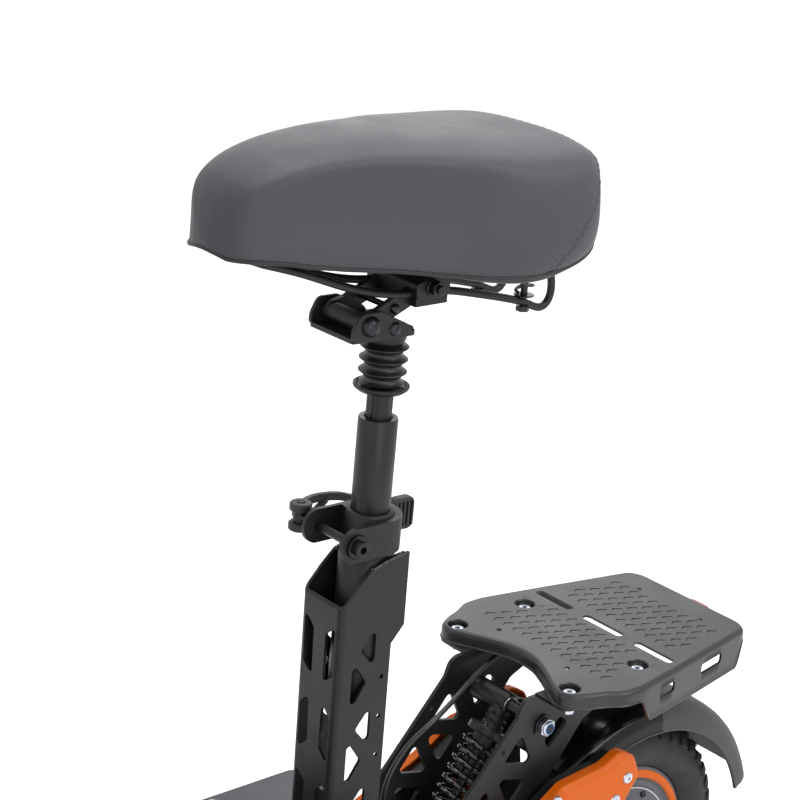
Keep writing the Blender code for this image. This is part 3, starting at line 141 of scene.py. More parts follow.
def patchy(tree, shader, place, scale, detail, tones, rough):
    """Drives colour and gloss by one soft noise: two close tones in patches, with an uneven shine."""
    noise = add(tree, "ShaderNodeTexNoise", {"Vector": place, "Scale": scale, "Detail": detail})
    cloud = noise.outputs["Fac"]
    tone = add(tree, "ShaderNodeMix", {FACTOR: cloud, COLOUR_A: linear(tones[0]), COLOUR_B: linear(tones[1])},
               data_type="RGBA")
    gloss = add(tree, "ShaderNodeMapRange", {"Value": cloud, "From Min": 0.3, "From Max": 0.7,
                                             "To Min": rough[0], "To Max": rough[1]})
    tree.links.new(tone.outputs[COLOUR_OUT], shader.inputs["Base Color"])
    tree.links.new(gloss.outputs["Result"], shader.inputs["Roughness"])


def grained(name, dark, light, rough, patch, grain, height, distance=0.0002, metal=0.0, ior=1.5, voronoi=False,
            **sockets):
    """A finish in two close tones, in patches and with a grain of so many millimetres."""
    made, tree, shader = surface(name, Metallic=metal, **sockets)
    if not metal:
        shader.inputs["IOR"].default_value = ior
    place = add(tree, "ShaderNodeTexCoord").outputs["Object"]
    patchy(tree, shader, place, 1 / (patch * MM), 5.0, (dark, light), rough)
    grain_inputs = {"Vector": place, "Scale": 1 / (grain * MM)}
    if voronoi:
        fine = add(tree, "ShaderNodeTexVoronoi", grain_inputs).outputs["Distance"]
    else:
        fine = add(tree, "ShaderNodeTexNoise", {**grain_inputs, "Detail": 2.0}).outputs["Fac"]
    bump = add(tree, "ShaderNodeBump", {"Height": fine, "Strength": height, "Distance": distance})
    tree.links.new(bump.outputs["Normal"], shader.inputs["Normal"])
    return made


# %% [markdown]
# The frame, column and plates are folded steel under black polyester powder coat. Powder melts into a
# film with a faint orange peel, about a millimetre from hill to hill, and a half-matt shine, which is why
# the black reads as dark grey wherever it faces something white. The rack, fender and deck carry a
# greyer, flatter coat.

# %% Painted steel
powder_black = grained("powder_coat_black", "#151618", "#1b1c1e", (0.40, 0.52), 30, 0.9, 0.18,
                       Specular_IOR_Level=0.36)
powder_deep = grained("powder_coat_deep_black", "#0f1012", "#151618", (0.34, 0.46), 30, 0.9, 0.15,
                      Specular_IOR_Level=0.4)
rack_coat = grained("fine_texture_coat_charcoal", "#232426", "#2a2b2d", (0.34, 0.42), 40, 0.7, 0.2)
deck_coat = grained("satin_coat_slate", "#33343b", "#3a3b43", (0.46, 0.58), 60, 0.8, 0.15)
fender_grey = grained("sprayed_polypropylene_grey", "#39393c", "#414144", (0.5, 0.62), 40, 0.8, 0.2)
# Painted shade: a near-black gloss for the rear fender's front quarter, where the rack shades the grey fender.
fender_black_painted_shade = grained("gloss_black_painted_shade", "#08090a", "#0d0e0f", (0.14, 0.22), 50, 3.0, 0.05,
                       Specular_IOR_Level=0.3)
spring_gloss = grained("dipped_spring_black", "#0b0c0d", "#101112", (0.12, 0.22), 20, 2.0, 0.08,
                       Coat_Weight=0.4, Coat_Roughness=0.08)

# %% [markdown]
# The orange covers and the rim ring are dyed ABS, moulded against a spark-eroded tool, so they carry a
# very fine grain. Polyamide with glass fibre makes the cam lever: grey-black and dull. The saddle pan and
# the display's case are plain black polypropylene.

# %% Moulded plastics
orange_abs = grained("moulded_abs_orange", "#ea6606", "#f2720f", (0.38, 0.48), 35, 0.6, 0.10, ior=1.5,
                     Specular_IOR_Level=0.25, Subsurface_Weight=0.04, Subsurface_Scale=0.002)
nylon_black = grained("glass_filled_nylon_black", "#1b1c1e", "#25262a", (0.45, 0.6), 14, 0.5, 0.25, ior=1.53)
polypropylene = grained("moulded_polypropylene_black", "#17181a", "#1f2022", (0.42, 0.55), 25, 0.8, 0.18,
                        ior=1.49)
cable_sheath = grained("pvc_sheath_black", "#121314", "#191a1c", (0.35, 0.45), 8, 1.5, 0.08, ior=1.53)

# %% [markdown]
# Metal left bare is zinc plated, with a cold and slightly uneven shine; the black bolts are oxidised and
# oiled. The fork sliders and the brake levers are anodised alloy. A metal's colour is its reflection, so
# these keep the default index and get their look from colour and roughness alone.

# %% Metals
zinc = grained("zinc_plated_steel", "#b4b8c3", "#d2d5de", (0.22, 0.34), 6, 0.5, 0.08, metal=1.0)
oxide = grained("black_oxide_steel", "#2a2b2d", "#3a3b3e", (0.28, 0.40), 6, 0.6, 0.12, metal=0.85)
anodised = grained("anodised_alloy_grey", "#5b5d61", "#66686d", (0.32, 0.42), 30, 0.8, 0.06, metal=1.0)
chrome_plate = grained("chrome_plate", "#c9ccd0", "#d8dadd", (0.06, 0.12), 10, 0.8, 0.03, metal=1.0)
machined = grained("machined_alloy", "#9a9ca1", "#adb0b5", (0.25, 0.36), 12, 0.6, 0.08, metal=1.0)

# %% [markdown]
# Three rubbers: the tyre's tread compound is dusty and quite flat, the bellows and the grips are smoother
# and keep a soft highlight along each rib, and the deck's mat is a gritty sheet.

# %% Rubbers
tyre_rubber = grained("tyre_tread_rubber", "#1c1c1e", "#262627", (0.62, 0.78), 18, 0.8, 0.35)
boot_rubber = grained("moulded_rubber_black", "#0f1011", "#161718", (0.34, 0.46), 12, 1.2, 0.12)
grip_rubber = grained("grip_rubber_black", "#161718", "#1e1f20", (0.5, 0.62), 12, 0.7, 0.25)
grit_mat = grained("grit_coated_mat", "#141516", "#232426", (0.75, 0.9), 2, 0.9, 0.9, 0.0006, voronoi=True)

# %% [markdown]
# The saddle's cover is foam-backed PVC with a fine leather grain. Next to the black frame it is a soft
# dark grey, and a faint sheen brightens it where it turns away. The grain's pebbles are about 0.9 mm
# across; they are drawn at 1.3 mm, so that they still show a step away.

# %% The saddle's vinyl
def vinyl(name, dark, light):
    made, tree, shader = surface(name, Sheen_Weight=0.12, Sheen_Roughness=0.45, Specular_IOR_Level=0.42)
    place = add(tree, "ShaderNodeTexCoord").outputs["Object"]
    patchy(tree, shader, place, 22.0, 4.0, (dark, light), (0.5, 0.62))
    pebble = add(tree, "ShaderNodeTexVoronoi", {"Vector": place, "Scale": 1 / (1.3 * MM), "Randomness": 0.9},
                 feature="SMOOTH_F1")
    ripple = add(tree, "ShaderNodeTexNoise", {"Vector": place, "Scale": 60.0, "Detail": 1.0}).outputs["Fac"]
    soft = add(tree, "ShaderNodeBump", {"Height": ripple, "Strength": 0.12, "Distance": 0.002})
    bump = add(tree, "ShaderNodeBump", {"Height": pebble.outputs["Distance"], "Strength": 0.35,
                                        "Distance": 0.0004, "Normal": soft.outputs["Normal"]})
    tree.links.new(bump.outputs["Normal"], shader.inputs["Normal"])
    return made


saddle_vinyl = vinyl("grained_pvc_leather_grey", "#45444a", "#4c4b51")
piping_vinyl = vinyl("piping_pvc_black", "#1d1d1f", "#262628")
thread = grained("bonded_polyester_thread", "#19191b", "#222224", (0.5, 0.6), 3, 0.4, 0.4)

# %% [markdown]
# The lamps are clear or tinted polycarbonate, index 1.58, smooth on the outside. The tail lamp is off, so
# its red looks pale. The display is black glass.

# %% Lenses and glass
red_lens = grained("polycarbonate_red_lens", "#d9736c", "#e58a82", (0.12, 0.2), 15, 2.0, 0.1, ior=1.58,
                   Transmission_Weight=0.25)
clear_lens = grained("polycarbonate_clear_lens", "#dfe4e8", "#eef1f3", (0.05, 0.1), 15, 3.0, 0.05, ior=1.58,
                     Transmission_Weight=0.8)
dark_glass = grained("black_display_glass", "#060708", "#0a0b0d", (0.04, 0.08), 30, 4.0, 0.02, Coat_Weight=0.6,
                     Coat_Roughness=0.03)

# %% [markdown]
# Every CAD solid but two is drawn again below. The battery and the motor controller lie inside the deck and
# are already the right shape, so they only change their finish.

# %% Finishes for the hidden solids
for name, finish in (("battery_pack", polypropylene), ("motor_controller", anodised)):
    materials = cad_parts[name].data.materials
    materials.clear()
    materials.append(finish)
print("finishes kept on 2 of", len(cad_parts), "solids")

# %% [markdown]
# The CAD solids are drawn with few faces, because a simulator has to carry them. For the portrait each one
# is drawn again with fine steps. The work happens on a bench at the world's origin, in millimetres; the
# finished mesh is then moved to its place on the scooter, and its object stays at the origin, unturned.

# %% The bench
def on_bench(mesh):
    made = bpy.data.objects.new("work", mesh)
    bpy.context.collection.objects.link(made)
    return made


def to_bench(shape):
    """A finished bmesh as a bench object."""
    mesh = bpy.data.meshes.new("work")
    shape.to_mesh(mesh)
    shape.free()
    return on_bench(mesh)


def drawn(build):
    """A bench object whose mesh is filled by a function."""
    shape = bmesh.new()
    build(shape)
    bmesh.ops.recalc_face_normals(shape, faces=shape.faces)
    return to_bench(shape)


def evaluated(work):
    """The mesh that a bench object's modifiers make of it. The object itself goes away."""
    bpy.context.view_layer.update()
    mesh = bpy.data.meshes.new_from_object(work.evaluated_get(bpy.context.evaluated_depsgraph_get()))
    bpy.data.objects.remove(work)
    return mesh


def merged(works):
    """Several bench objects as one, without joining their surfaces."""
    shape = bmesh.new()
    for work in works:
        shape.from_mesh(work.data)
        bpy.data.objects.remove(work)
    return to_bench(shape)


def moved(work, matrix):
    work.data.transform(matrix)
    return work


def at(x, y, z):
    return Matrix.Translation((x, y, z))


def outwards(side):
    """The turn that lays a screw, which is drawn upright, on the left or the right side."""
    return Matrix.Rotation(-side * math.pi / 2, 4, "X")


# %% [markdown]
# Steel parts are welded up and drilled, and the bench does the same with Booleans. Cutters that don't touch
# each other are merged first, so that one cut makes all the holes of a plate.

# %% Welding and drilling
def boolean(work, other, operation):
    step = work.modifiers.new("step", "BOOLEAN")
    step.operation = operation
    step.object = other
    step.solver = "EXACT"
    mesh = evaluated(work)
    bpy.data.objects.remove(other)
    return on_bench(mesh)


def welded(work, *others):
    for other in others:
        work = boolean(work, other, "UNION")
    return work


def drilled(work, *cutters):
    return boolean(work, merged(cutters), "DIFFERENCE")


# %% [markdown]
# Six ways of drawing cover the scooter: a rod between two points, a block, a profile turned on a lathe, a flat
# sheet with holes cut from an outline, a tube along a path, and a skin over rings. The sheet is a filled 2D
# curve: its bevel rounds the cut edges, which is where a thin plate catches the light.

# %% Rods, blocks and turned parts
def rod(start, end, radius, sides=48):
    start, end = Vector(start), Vector(end)
    turn = (end - start).to_track_quat("Z", "Y").to_matrix().to_4x4()
    place = Matrix.Translation((start + end) / 2) @ turn
    return drawn(lambda shape: bmesh.ops.create_cone(shape, cap_ends=True, segments=sides, radius1=radius,
                                                     radius2=radius, depth=(end - start).length, matrix=place))


def crossbar(spot, low, high, radius, sides=48):
    """A rod that runs crosswise through (x, z), from low to high; with six sides it is a nut or a bolt's head."""
    return rod((spot[0], low, spot[1]), (spot[0], high, spot[1]), radius, sides)


def block(low, high):
    low, high = Vector(low), Vector(high)
    place = Matrix.Translation((low + high) / 2) @ Matrix.Diagonal((*(high - low), 1))
    return drawn(lambda shape: bmesh.ops.create_cube(shape, size=1, matrix=place))


def ball(segments, rings, radius, place):
    return drawn(lambda shape: bmesh.ops.create_uvsphere(shape, u_segments=segments, v_segments=rings,
                                                         radius=radius, matrix=place))


LATHE = {"Z": Matrix.Identity(4), "Y": Matrix.Rotation(-math.pi / 2, 4, "X"),
         "X": Matrix.Rotation(math.pi / 2, 4, "Y")}


def lathe(profile, centre=(0, 0, 0), axis="Z", steps=72, closed=False):
    """A profile of (radius, height) turned about an axis; a point on the axis closes the end."""
    place = Matrix.Translation(centre) @ LATHE[axis]
    angles = [2 * math.pi * i / steps for i in range(steps)]

    def build(shape):
        rows = []
        for r, h in profile:
            around = angles if r > 0.0001 else [0.0]
            ring = [Vector((r * math.cos(a), r * math.sin(a), h)) for a in around]
            rows.append([shape.verts.new(place @ corner) for corner in ring])
        for one, two in zip(rows, rows[1:] + (rows[:1] if closed else [])):
            if len(one) == 1 and len(two) == 1:
                continue
            for i in range(steps):
                j = (i + 1) % steps
                ring = (one[i % len(one)], one[j % len(one)], two[j % len(two)], two[i % len(two)])
                shape.faces.new(list(dict.fromkeys(ring)))

    return drawn(build)


def hexagon_screw(profile, floor, across, top=4, steps=40):
    """A turned screw head with a hexagon recess, from the recess's floor up."""
    return drilled(lathe(profile, steps=steps), rod((0, 0, floor), (0, 0, top), across, 6))


# %% [markdown]
# Outlines are drawn with sharp corners and then rounded, as a laser cuts them. A smooth path runs through
# its points on a Catmull-Rom curve, which is how wires and cables are given.

# %% Outlines and paths
def rounded(corners, radius, steps=6):
    """An outline with its corners rounded; a corner may carry its own radius as a third value."""
    made = []
    count = len(corners)
    for i, corner in enumerate(corners):
        here = Vector(corner[:2])
        before = Vector(corners[i - 1][:2])
        after = Vector(corners[(i + 1) % count][:2])
        r = corner[2] if len(corner) > 2 else radius
        one = (before - here).normalized()
        two = (after - here).normalized()
        half = one.angle(two) / 2
        if r <= 0 or half > math.pi / 2 - 0.02:
            made.append(tuple(here))
            continue
        reach = min(r / math.tan(half), (before - here).length * 0.48, (after - here).length * 0.48)
        r = reach * math.tan(half)
        centre = here + (one + two).normalized() * (r / math.sin(half))
        first = here + one * reach - centre
        last = here + two * reach - centre
        swing = first.angle_signed(last)
        made += [tuple(centre + Matrix.Rotation(-swing * k / steps, 2) @ first) for k in range(steps + 1)]
    return made


def inset(outline, by):
    """The outline moved inwards, whichever way round it runs."""
    count = len(outline)
    area = sum(outline[i - 1][0] * outline[i][1] - outline[i][0] * outline[i - 1][1] for i in range(count))
    side = 1 if area > 0 else -1
    made = []
    for i in range(count):
        here = Vector(outline[i][:2])
        one = (here - Vector(outline[i - 1][:2])).normalized()
        two = (Vector(outline[(i + 1) % count][:2]) - here).normalized()
        normals = [Vector((-n.y, n.x)) * side for n in (one, two)]
        middle = (normals[0] + normals[1]).normalized()
        made.append(tuple(here + middle * by / max(0.4, middle.dot(normals[0]))))
    return made


def smooth_path(points, steps=8):
    """Points along a Catmull-Rom curve through the given ones."""
    ends = [points[0], *points, points[-1]]
    made = []
    for a, b, c, d in zip(ends, ends[1:], ends[2:], ends[3:]):
        a, b, c, d = Vector(a), Vector(b), Vector(c), Vector(d)
        for i in range(steps):
            t = i / steps
            made.append(((2 * b) + (c - a) * t + (2 * a - 5 * b + 4 * c - d) * t * t
                         + (3 * b - a - 3 * c + d) * t ** 3) / 2)
    return made + [Vector(points[-1])]


def circle(x, z, radius, sides=32):
    return [(x + radius * math.cos(2 * math.pi * i / sides), z + radius * math.sin(2 * math.pi * i / sides))
            for i in range(sides)]


# %% Sheets, tubes and skins
SHEET_PLANE = {"xy": Matrix.Identity(4), "xz": Matrix(((1, 0, 0), (0, 0, -1), (0, 1, 0))).to_4x4(),
               "yz": Matrix(((0, 0, 1), (1, 0, 0), (0, 1, 0))).to_4x4()}


def from_curve(curve):
    """A curve as a closed bench mesh."""
    shape = bmesh.new()
    shape.from_mesh(evaluated(on_bench(curve)))
    bmesh.ops.remove_doubles(shape, verts=shape.verts, dist=0.0005)
    bmesh.ops.recalc_face_normals(shape, faces=shape.faces)
    return to_bench(shape)


def sheet_metal(plane, outline, low, high, holes=(), edge=0.0):
    """A flat outline with holes, from low to high across its plane, with its cut edges rounded by edge."""
    curve = bpy.data.curves.new("outline", "CURVE")
    curve.dimensions = "2D"
    curve.fill_mode = "BOTH"
    curve.extrude = (high - low) / 2 - edge
    curve.bevel_depth = edge
    curve.bevel_resolution = 1
    curve.offset = -edge
    for loop in (outline, *holes):
        spline = curve.splines.new("POLY")
        spline.points.add(len(loop) - 1)
        for point, spot in zip(spline.points, loop):
            point.co = (spot[0], spot[1], 0, 1)
        spline.use_cyclic_u = True
    turn = SHEET_PLANE[plane]
    normal = turn.col[2].to_3d()
    middle = normal * (1 if sum(normal) > 0 else -1) * (low + high) / 2
    return moved(from_curve(curve), Matrix.Translation(middle) @ turn)


def both_sides(outline, low, high, holes=(), edge=0.0):
    """The same plate on the right and on the left, so many millimetres out from the middle."""
    return [sheet_metal("xz", outline, *sorted((side * low, side * high)), holes, edge) for side in (-1, 1)]


def tube(points, radius, resolution=5, loop=False):
    """A round wire through the points."""
    curve = bpy.data.curves.new("tube", "CURVE")
    curve.dimensions = "3D"
    curve.bevel_depth = radius
    curve.bevel_resolution = resolution
    curve.use_fill_caps = True
    spline = curve.splines.new("POLY")
    spline.points.add(len(points) - 1)
    for point, spot in zip(spline.points, points):
        point.co = (*spot, 1)
    spline.use_cyclic_u = loop
    return from_curve(curve)


def skin(rings):
    """A skin over rings of as many points each; the first and the last ring are filled."""
    def build(shape):
        made = [[shape.verts.new(point) for point in ring] for ring in rings]
        size = len(rings[0])
        for one, two in zip(made, made[1:]):
            for i in range(size):
                j = (i + 1) % size
                shape.faces.new((one[i], one[j], two[j], two[i]))
        shape.faces.new(made[0])
        shape.faces.new(made[-1])

    return drawn(build)


# %% [markdown]
# No real edge is perfectly sharp: paint and tumbling leave about half a millimetre of radius, and that
# radius is what draws the bright lines on black metal. Each piece gets it from a Bevel modifier when it
# leaves the bench, and a Weighted Normal modifier keeps its flat faces flat to the eye.

# %% Off the bench
face_counts = []


def eased(work, edge, sharp=38):
    """Rounds the edges that are sharper than so many degrees."""
    step = work.modifiers.new("edges", "BEVEL")
    step.width = edge
    step.segments = 2
    step.limit_method = "ANGLE"
    step.angle_limit = math.radians(sharp)
    return on_bench(evaluated(work))


def piece(name, work, frame_of_work, finish, body, *nodes, edge=0.5, sharp=38, flat=False):
    """Finishes a bench object: eased edges, normals, its place, its material, its body and what it replaces."""
    if edge:
        work = eased(work, edge, sharp)
    work.data.shade_smooth()
    work.data.set_sharp_from_angle(angle=math.radians(52 if edge else sharp))
    if edge or flat:
        step = work.modifiers.new("normals", "WEIGHTED_NORMAL")
        step.keep_sharp = True
    mesh = evaluated(work)
    mesh.name = name
    mesh.transform(frame_of_work)
    mesh.materials.clear()
    mesh.materials.append(finish)
    made = bpy.data.objects.new(name, mesh)
    bpy.context.collection.objects.link(made)
    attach(made, body)
    if nodes:
        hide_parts(*nodes)
    face_counts.append(len(mesh.polygons))
    print(f"{name}: {face_counts[-1]} faces, on {body}")
    return made


# %% [markdown]
# Small things that repeat, such as tread marks, stitches, tyre blocks and screws, are one shape set down
# many times. A Geometry Nodes tree does that: it turns the corners of a mesh into points, sets the shape
# on each, turned by the angles stored with the point, makes the copies real and gives them their material.

# %% A tree that sets a shape down on points
def group_tree(name, inputs):
    """A tree with these named inputs: itself, its input and output nodes, and each input's identifier."""
    tree = bpy.data.node_groups.new(name, "GeometryNodeTree")
    tree.interface.new_socket("Geometry", in_out="OUTPUT", socket_type="NodeSocketGeometry")
    identifiers = {}
    for label, kind in {"Geometry": "Geometry", **inputs, "Finish": "Material"}.items():
        made = tree.interface.new_socket(label, in_out="INPUT", socket_type="NodeSocket" + kind)
        identifiers[label] = made.identifier
    return tree, tree.nodes.new("NodeGroupInput"), tree.nodes.new("NodeGroupOutput"), identifiers


def closing(tree, geometry, source, out):
    """The two steps that every tree here ends in: real geometry, then its material."""
    real = add(tree, "GeometryNodeRealizeInstances", {"Geometry": geometry})
    painted = add(tree, "GeometryNodeSetMaterial", {"Geometry": real.outputs["Geometry"],
                                                    "Material": source.outputs["Finish"]})
    tree.links.new(painted.outputs["Geometry"], out.inputs["Geometry"])


def run_tree(work, tree, identifiers, values):
    """What a tree makes of a bench object, with its inputs set by identifier."""
    step = work.modifiers.new("tree", "NODES")
    step.node_group = tree
    for label, value in values.items():
        step[identifiers[label]] = value
    return on_bench(evaluated(work))


STAMP, source, out, STAMP_INPUTS = group_tree("shape_on_points", {"Shape": "Object", "Size": "Float"})
points = add(STAMP, "GeometryNodeMeshToPoints", {"Mesh": source.outputs["Geometry"]})
turn = add(STAMP, "GeometryNodeInputNamedAttribute", {"Name": "turn"}, data_type="FLOAT_VECTOR")
shape = add(STAMP, "GeometryNodeObjectInfo", {"Object": source.outputs["Shape"]})
copies = add(STAMP, "GeometryNodeInstanceOnPoints", {
    "Points": points.outputs[0], "Instance": shape.outputs["Geometry"], "Rotation": turn.outputs[0],
    "Scale": source.outputs["Size"]})
closing(STAMP, copies.outputs[0], source, out)
print("stamping tree:", ", ".join(STAMP_INPUTS))


def stamped(shape, places, finish):
    """A bench object with the shape set down at each of the matrices."""
    mesh = bpy.data.meshes.new("points")
    mesh.from_pydata([m.translation for m in places], [], [])
    turns = mesh.attributes.new("turn", "FLOAT_VECTOR", "POINT")
    turns.data.foreach_set("vector", np.array([m.to_euler() for m in places], dtype=np.float32).ravel())
    made = run_tree(on_bench(mesh), STAMP, STAMP_INPUTS, {"Shape": shape, "Size": 1.0, "Finish": finish})
    bpy.data.objects.remove(shape)
    return made


# %% [markdown]
# Both kinds of coil on the scooter are wound at a steady pitch, so a second tree winds them from a Spiral
# curve and a round wire, with the turns, the radius, the height and the wire as its inputs.

# %% A tree that winds a coil
COIL, source, out, COIL_INPUTS = group_tree(
    "wound_coil", {"Turns": "Float", "Coil Radius": "Float", "Height": "Float", "Wire Radius": "Float"})
path = add(COIL, "GeometryNodeCurveSpiral", {
    "Resolution": 40, "Rotations": source.outputs["Turns"], "Start Radius": source.outputs["Coil Radius"],
    "End Radius": source.outputs["Coil Radius"], "Height": source.outputs["Height"]})
wire = add(COIL, "GeometryNodeCurvePrimitiveCircle", {
    "Resolution": 16, "Radius": source.outputs["Wire Radius"]})
wound = add(COIL, "GeometryNodeCurveToMesh", {
    "Curve": path.outputs[0], "Profile Curve": wire.outputs[0], "Fill Caps": True})
closing(COIL, wound.outputs[0], source, out)
print("coil tree:", ", ".join(COIL_INPUTS))


def coil(turns, radius, height, wire, finish):
    """A coil on the bench, wound upwards from the origin."""
    return run_tree(on_bench(bpy.data.meshes.new("coil")), COIL, COIL_INPUTS, {
        "Turns": turns, "Coil Radius": radius, "Height": height, "Wire Radius": wire, "Finish": finish})


# %% [markdown]
# ## The saddle
# The saddle is moulded foam under a stretched vinyl cover. Its sides run nearly straight down from a soft
# crease under the crown, are hollowed for the thighs, and swell out behind them. Sections along its length
# give this form: each station holds a half width, a top and a hem, and a smooth curve joins them both ways.

# %% Saddle sections
STATIONS = [(-204, 12, 116, 98), (-203.3, 28, 123, 90), (-201, 46, 130.5, 82), (-196, 68, 140, 75),
            (-186, 88, 146, 68), (-171, 103, 150, 61), (-151, 110, 151, 54), (-124, 111, 152, 48),
            (-96, 108, 153, 47), (-64, 99, 155, 50), (-33, 85, 156, 56), (1, 73, 157, 63), (35, 63, 156, 69),
            (71, 55, 152, 74), (103, 48, 144, 75), (126, 40, 133, 73), (138, 31, 121, 72), (145, 18, 106, 73),
            (147.5, 8, 97, 76.5), (148.2, 2, 90, 83)]
FRONT_SECTION = [(0, 0, 0), (0.3, 0, 0), (0.6, 0, 0), (0.84, 0, 0), (0.865, 0, 0.9), (0.92, 0, 1.05),
                 (0.975, 0, 0.95), (1.0, 0.04, 0.5), (0.992, 0.12, 0), (0.985, 0.22, 0), (0.972, 0.42, 0),
                 (0.968, 0.66, 0), (0.95, 0.79, 0), (0.895, 0.875, 0), (0.76, 0.925, 0), (0.5, 0.975, 0),
                 (0.25, 0.996, 0), (0, 1, 0)]
REAR_SECTION = [(0, 0, 0), (0.3, 0, 0), (0.6, 0, 0), (0.8, 0, 0), (0.86, 0, 0), (0.91, 0.008, 0),
                (0.955, 0.025, 0), (0.982, 0.06, 0), (0.997, 0.14, 0), (1.0, 0.27, 0), (0.988, 0.45, 0),
                (0.972, 0.64, 0), (0.945, 0.78, 0), (0.885, 0.865, 0), (0.76, 0.92, 0), (0.5, 0.975, 0),
                (0.25, 0.996, 0), (0, 1, 0)]
SKIRT = [(-210, 0), (-115, 0), (-85, 1), (-50, 3), (-15, 6), (8, 8), (32, 10.5), (55, 12), (78, 11.5),
         (100, 7.5), (122, 3), (136, 0.5), (150, 0)]
stations = [tuple(p) for p in smooth_path(STATIONS, 8)]
front_section, rear_section = (smooth_path(points, 5) for points in (FRONT_SECTION, REAR_SECTION))


def ramp(value, low, high):
    t = min(max((value - low) / (high - low), 0.0), 1.0)
    return t * t * (3 - 2 * t)


def swell(x, share):
    """How far the side stands out here, in millimetres: hollow at the thighs, full behind them."""
    high = math.sin(math.pi * min(max((share - 0.02) / 0.82, 0.0), 1.0))
    edge = -92 + 60 * (1 - share)
    behind = 1 / (1 + math.exp((x - edge) / 7))
    front = 1 / (1 + math.exp((x - 92) / 14))
    return high * (3.0 * behind * (1 if x > -175 else 0.4) - 4.5 * (1 - behind) * front)


def saddle_half(x, half, top, hem):
    """One side of a section, from the middle of the underside to the middle of the crown."""
    behind = ramp(-x, 20, 130)
    skirt = np.interp(x, *zip(*SKIRT))
    side = []
    for one, two in zip(front_section, rear_section):
        w, h, drop = one.lerp(two, behind)
        out = swell(x, h) * min(1.0, half / 60) * ramp(w, 0.86, 0.95)
        side.append(Vector((x, half * w + out, hem + (top - hem) * min(max(h, 0.0), 1.0) - skirt * drop)))
    return side


def saddle_ring(*station):
    out = saddle_half(*station)
    return out + [Vector((p.x, -p.y, p.z)) for p in reversed(out[1:-1])]


saddle_rings = [saddle_ring(*station) for station in stations]
print("saddle:", len(saddle_rings), "sections of", len(saddle_rings[0]), "points")

# %% [markdown]
# The rear third of the cover is a panel of its own. Its seam climbs back from the hem to the crease, and
# crosses over behind the crown. A point of the seam is found by casting a ray from inside the foam; the
# cover is then drawn in along it, with one row of stitches on each side.

# %% The seam on the cover
cushion = skin(saddle_rings)
tree_of_faces = BVHTree.FromPolygons([v.co for v in cushion.data.vertices],
                                     [p.vertices for p in cushion.data.polygons])


def on_cover(target, inside):
    """The point of the cover that is seen from inside towards the target, and its normal."""
    inside = Vector(inside)
    spot, normal, _, _ = tree_of_faces.ray_cast(inside, (Vector(target) - inside).normalized())
    return spot, normal


SEAM = [(-118, 50), (-125.5, 63), (-135, 72.5), (-144, 84), (-151.7, 94.3), (-161.6, 106), (-168, 117),
        (-173, 127), (-179, 138)]
near_side = [((p.x, 140, p.y), (p.x, 0, p.y)) for p in smooth_path(SEAM, 6)]
over_top = [((-183 - 6 * math.cos(a), 75 * math.sin(a), 200), (-178, 60 * math.sin(a), 100))
            for a in [math.radians(80 - 8 * i) for i in range(21)]]
far_side = [((t[0], -t[1], t[2]), i) for t, i in reversed(near_side)]
seam = [on_cover(target, inside) for target, inside in near_side + over_top + far_side]
seam = [(spot, normal) for spot, normal in seam if spot is not None]
seam_line = [spot for spot, _ in seam]
seam_length = sum((a - b).length for a, b in zip(seam_line, seam_line[1:]))
print("seam:", len(seam_line), "points,", round(seam_length), "mm")

# %% Cover, stitches and piping
def drawn_in(work, line, width, depth):
    """Presses a groove into a mesh along a line of points."""
    spots = np.array([tuple(p) for p in line])
    for vertex in work.data.vertices:
        away = np.sqrt(((spots - np.array(vertex.co)) ** 2).sum(axis=1).min())
        if away < width:
            vertex.co -= vertex.normal * depth * (0.5 + 0.5 * math.cos(math.pi * away / width))


dense = [p for a, b in zip(seam_line, seam_line[1:]) for p in (a, (a + b) / 2)]
finer = cushion.modifiers.new("finer", "SUBSURF")
finer.levels = finer.render_levels = 1
cushion = on_bench(evaluated(cushion))
drawn_in(cushion, dense, 3.2, 1.5)
saddle_cover = piece("saddle_cover", cushion, SEAT, saddle_vinyl, "saddle", "saddle_cushion", edge=0, sharp=70)

HEM_POINT = 31
hem = [saddle_half(*station)[HEM_POINT] + Vector((0, 0.3, -0.4)) for station in stations[10:-20:2]]
nose = [(144.4, 17, 73.4), (146.4, 9, 74.8), (147, 0, 75.4), (146.4, -9, 74.8), (144.4, -17, 73.4)]
hem_line = hem + nose + [(p.x, -p.y, p.z) for p in reversed(hem)]
piece("hem_piping", tube(hem_line, 1.7, loop=True), SEAT, piping_vinyl, "saddle", edge=0, sharp=70)

ROW_OFFSET, STITCH_STEP, STITCH_SINK = 4.2, 6.2, 0.25
row_places = []
for offset in (-ROW_OFFSET, ROW_OFFSET):
    walked = 0.0
    for (a, normal), (b, _) in zip(seam, seam[1:]):
        along = (b - a).normalized()
        aside = (a + b) / 2 + normal.cross(along).normalized() * offset
        walked += (b - a).length
        while walked > 0:
            walked -= STITCH_STEP
            spot, out = on_cover(aside + normal * 20, aside - normal * 20)
            if spot:
                turned = Matrix((along, out.cross(along).normalized(), out)).transposed().to_4x4()
                row_places.append(Matrix.Translation(spot - out * STITCH_SINK) @ turned)
stitch = ball(8, 6, 1, Matrix.Diagonal((2.3, 0.55, 0.5, 1)))
piece("seam_stitches", stamped(stitch, row_places, thread), SEAT, thread, "saddle", edge=0, sharp=80)
print("stitches:", len(row_places))

# %% [markdown]
# Under the cover sits a moulded pan with two pads for the coil springs. The rail is one length of wire: it
# leaves the pan's nose, runs back on both sides, loops up behind and carries the springs on its way.

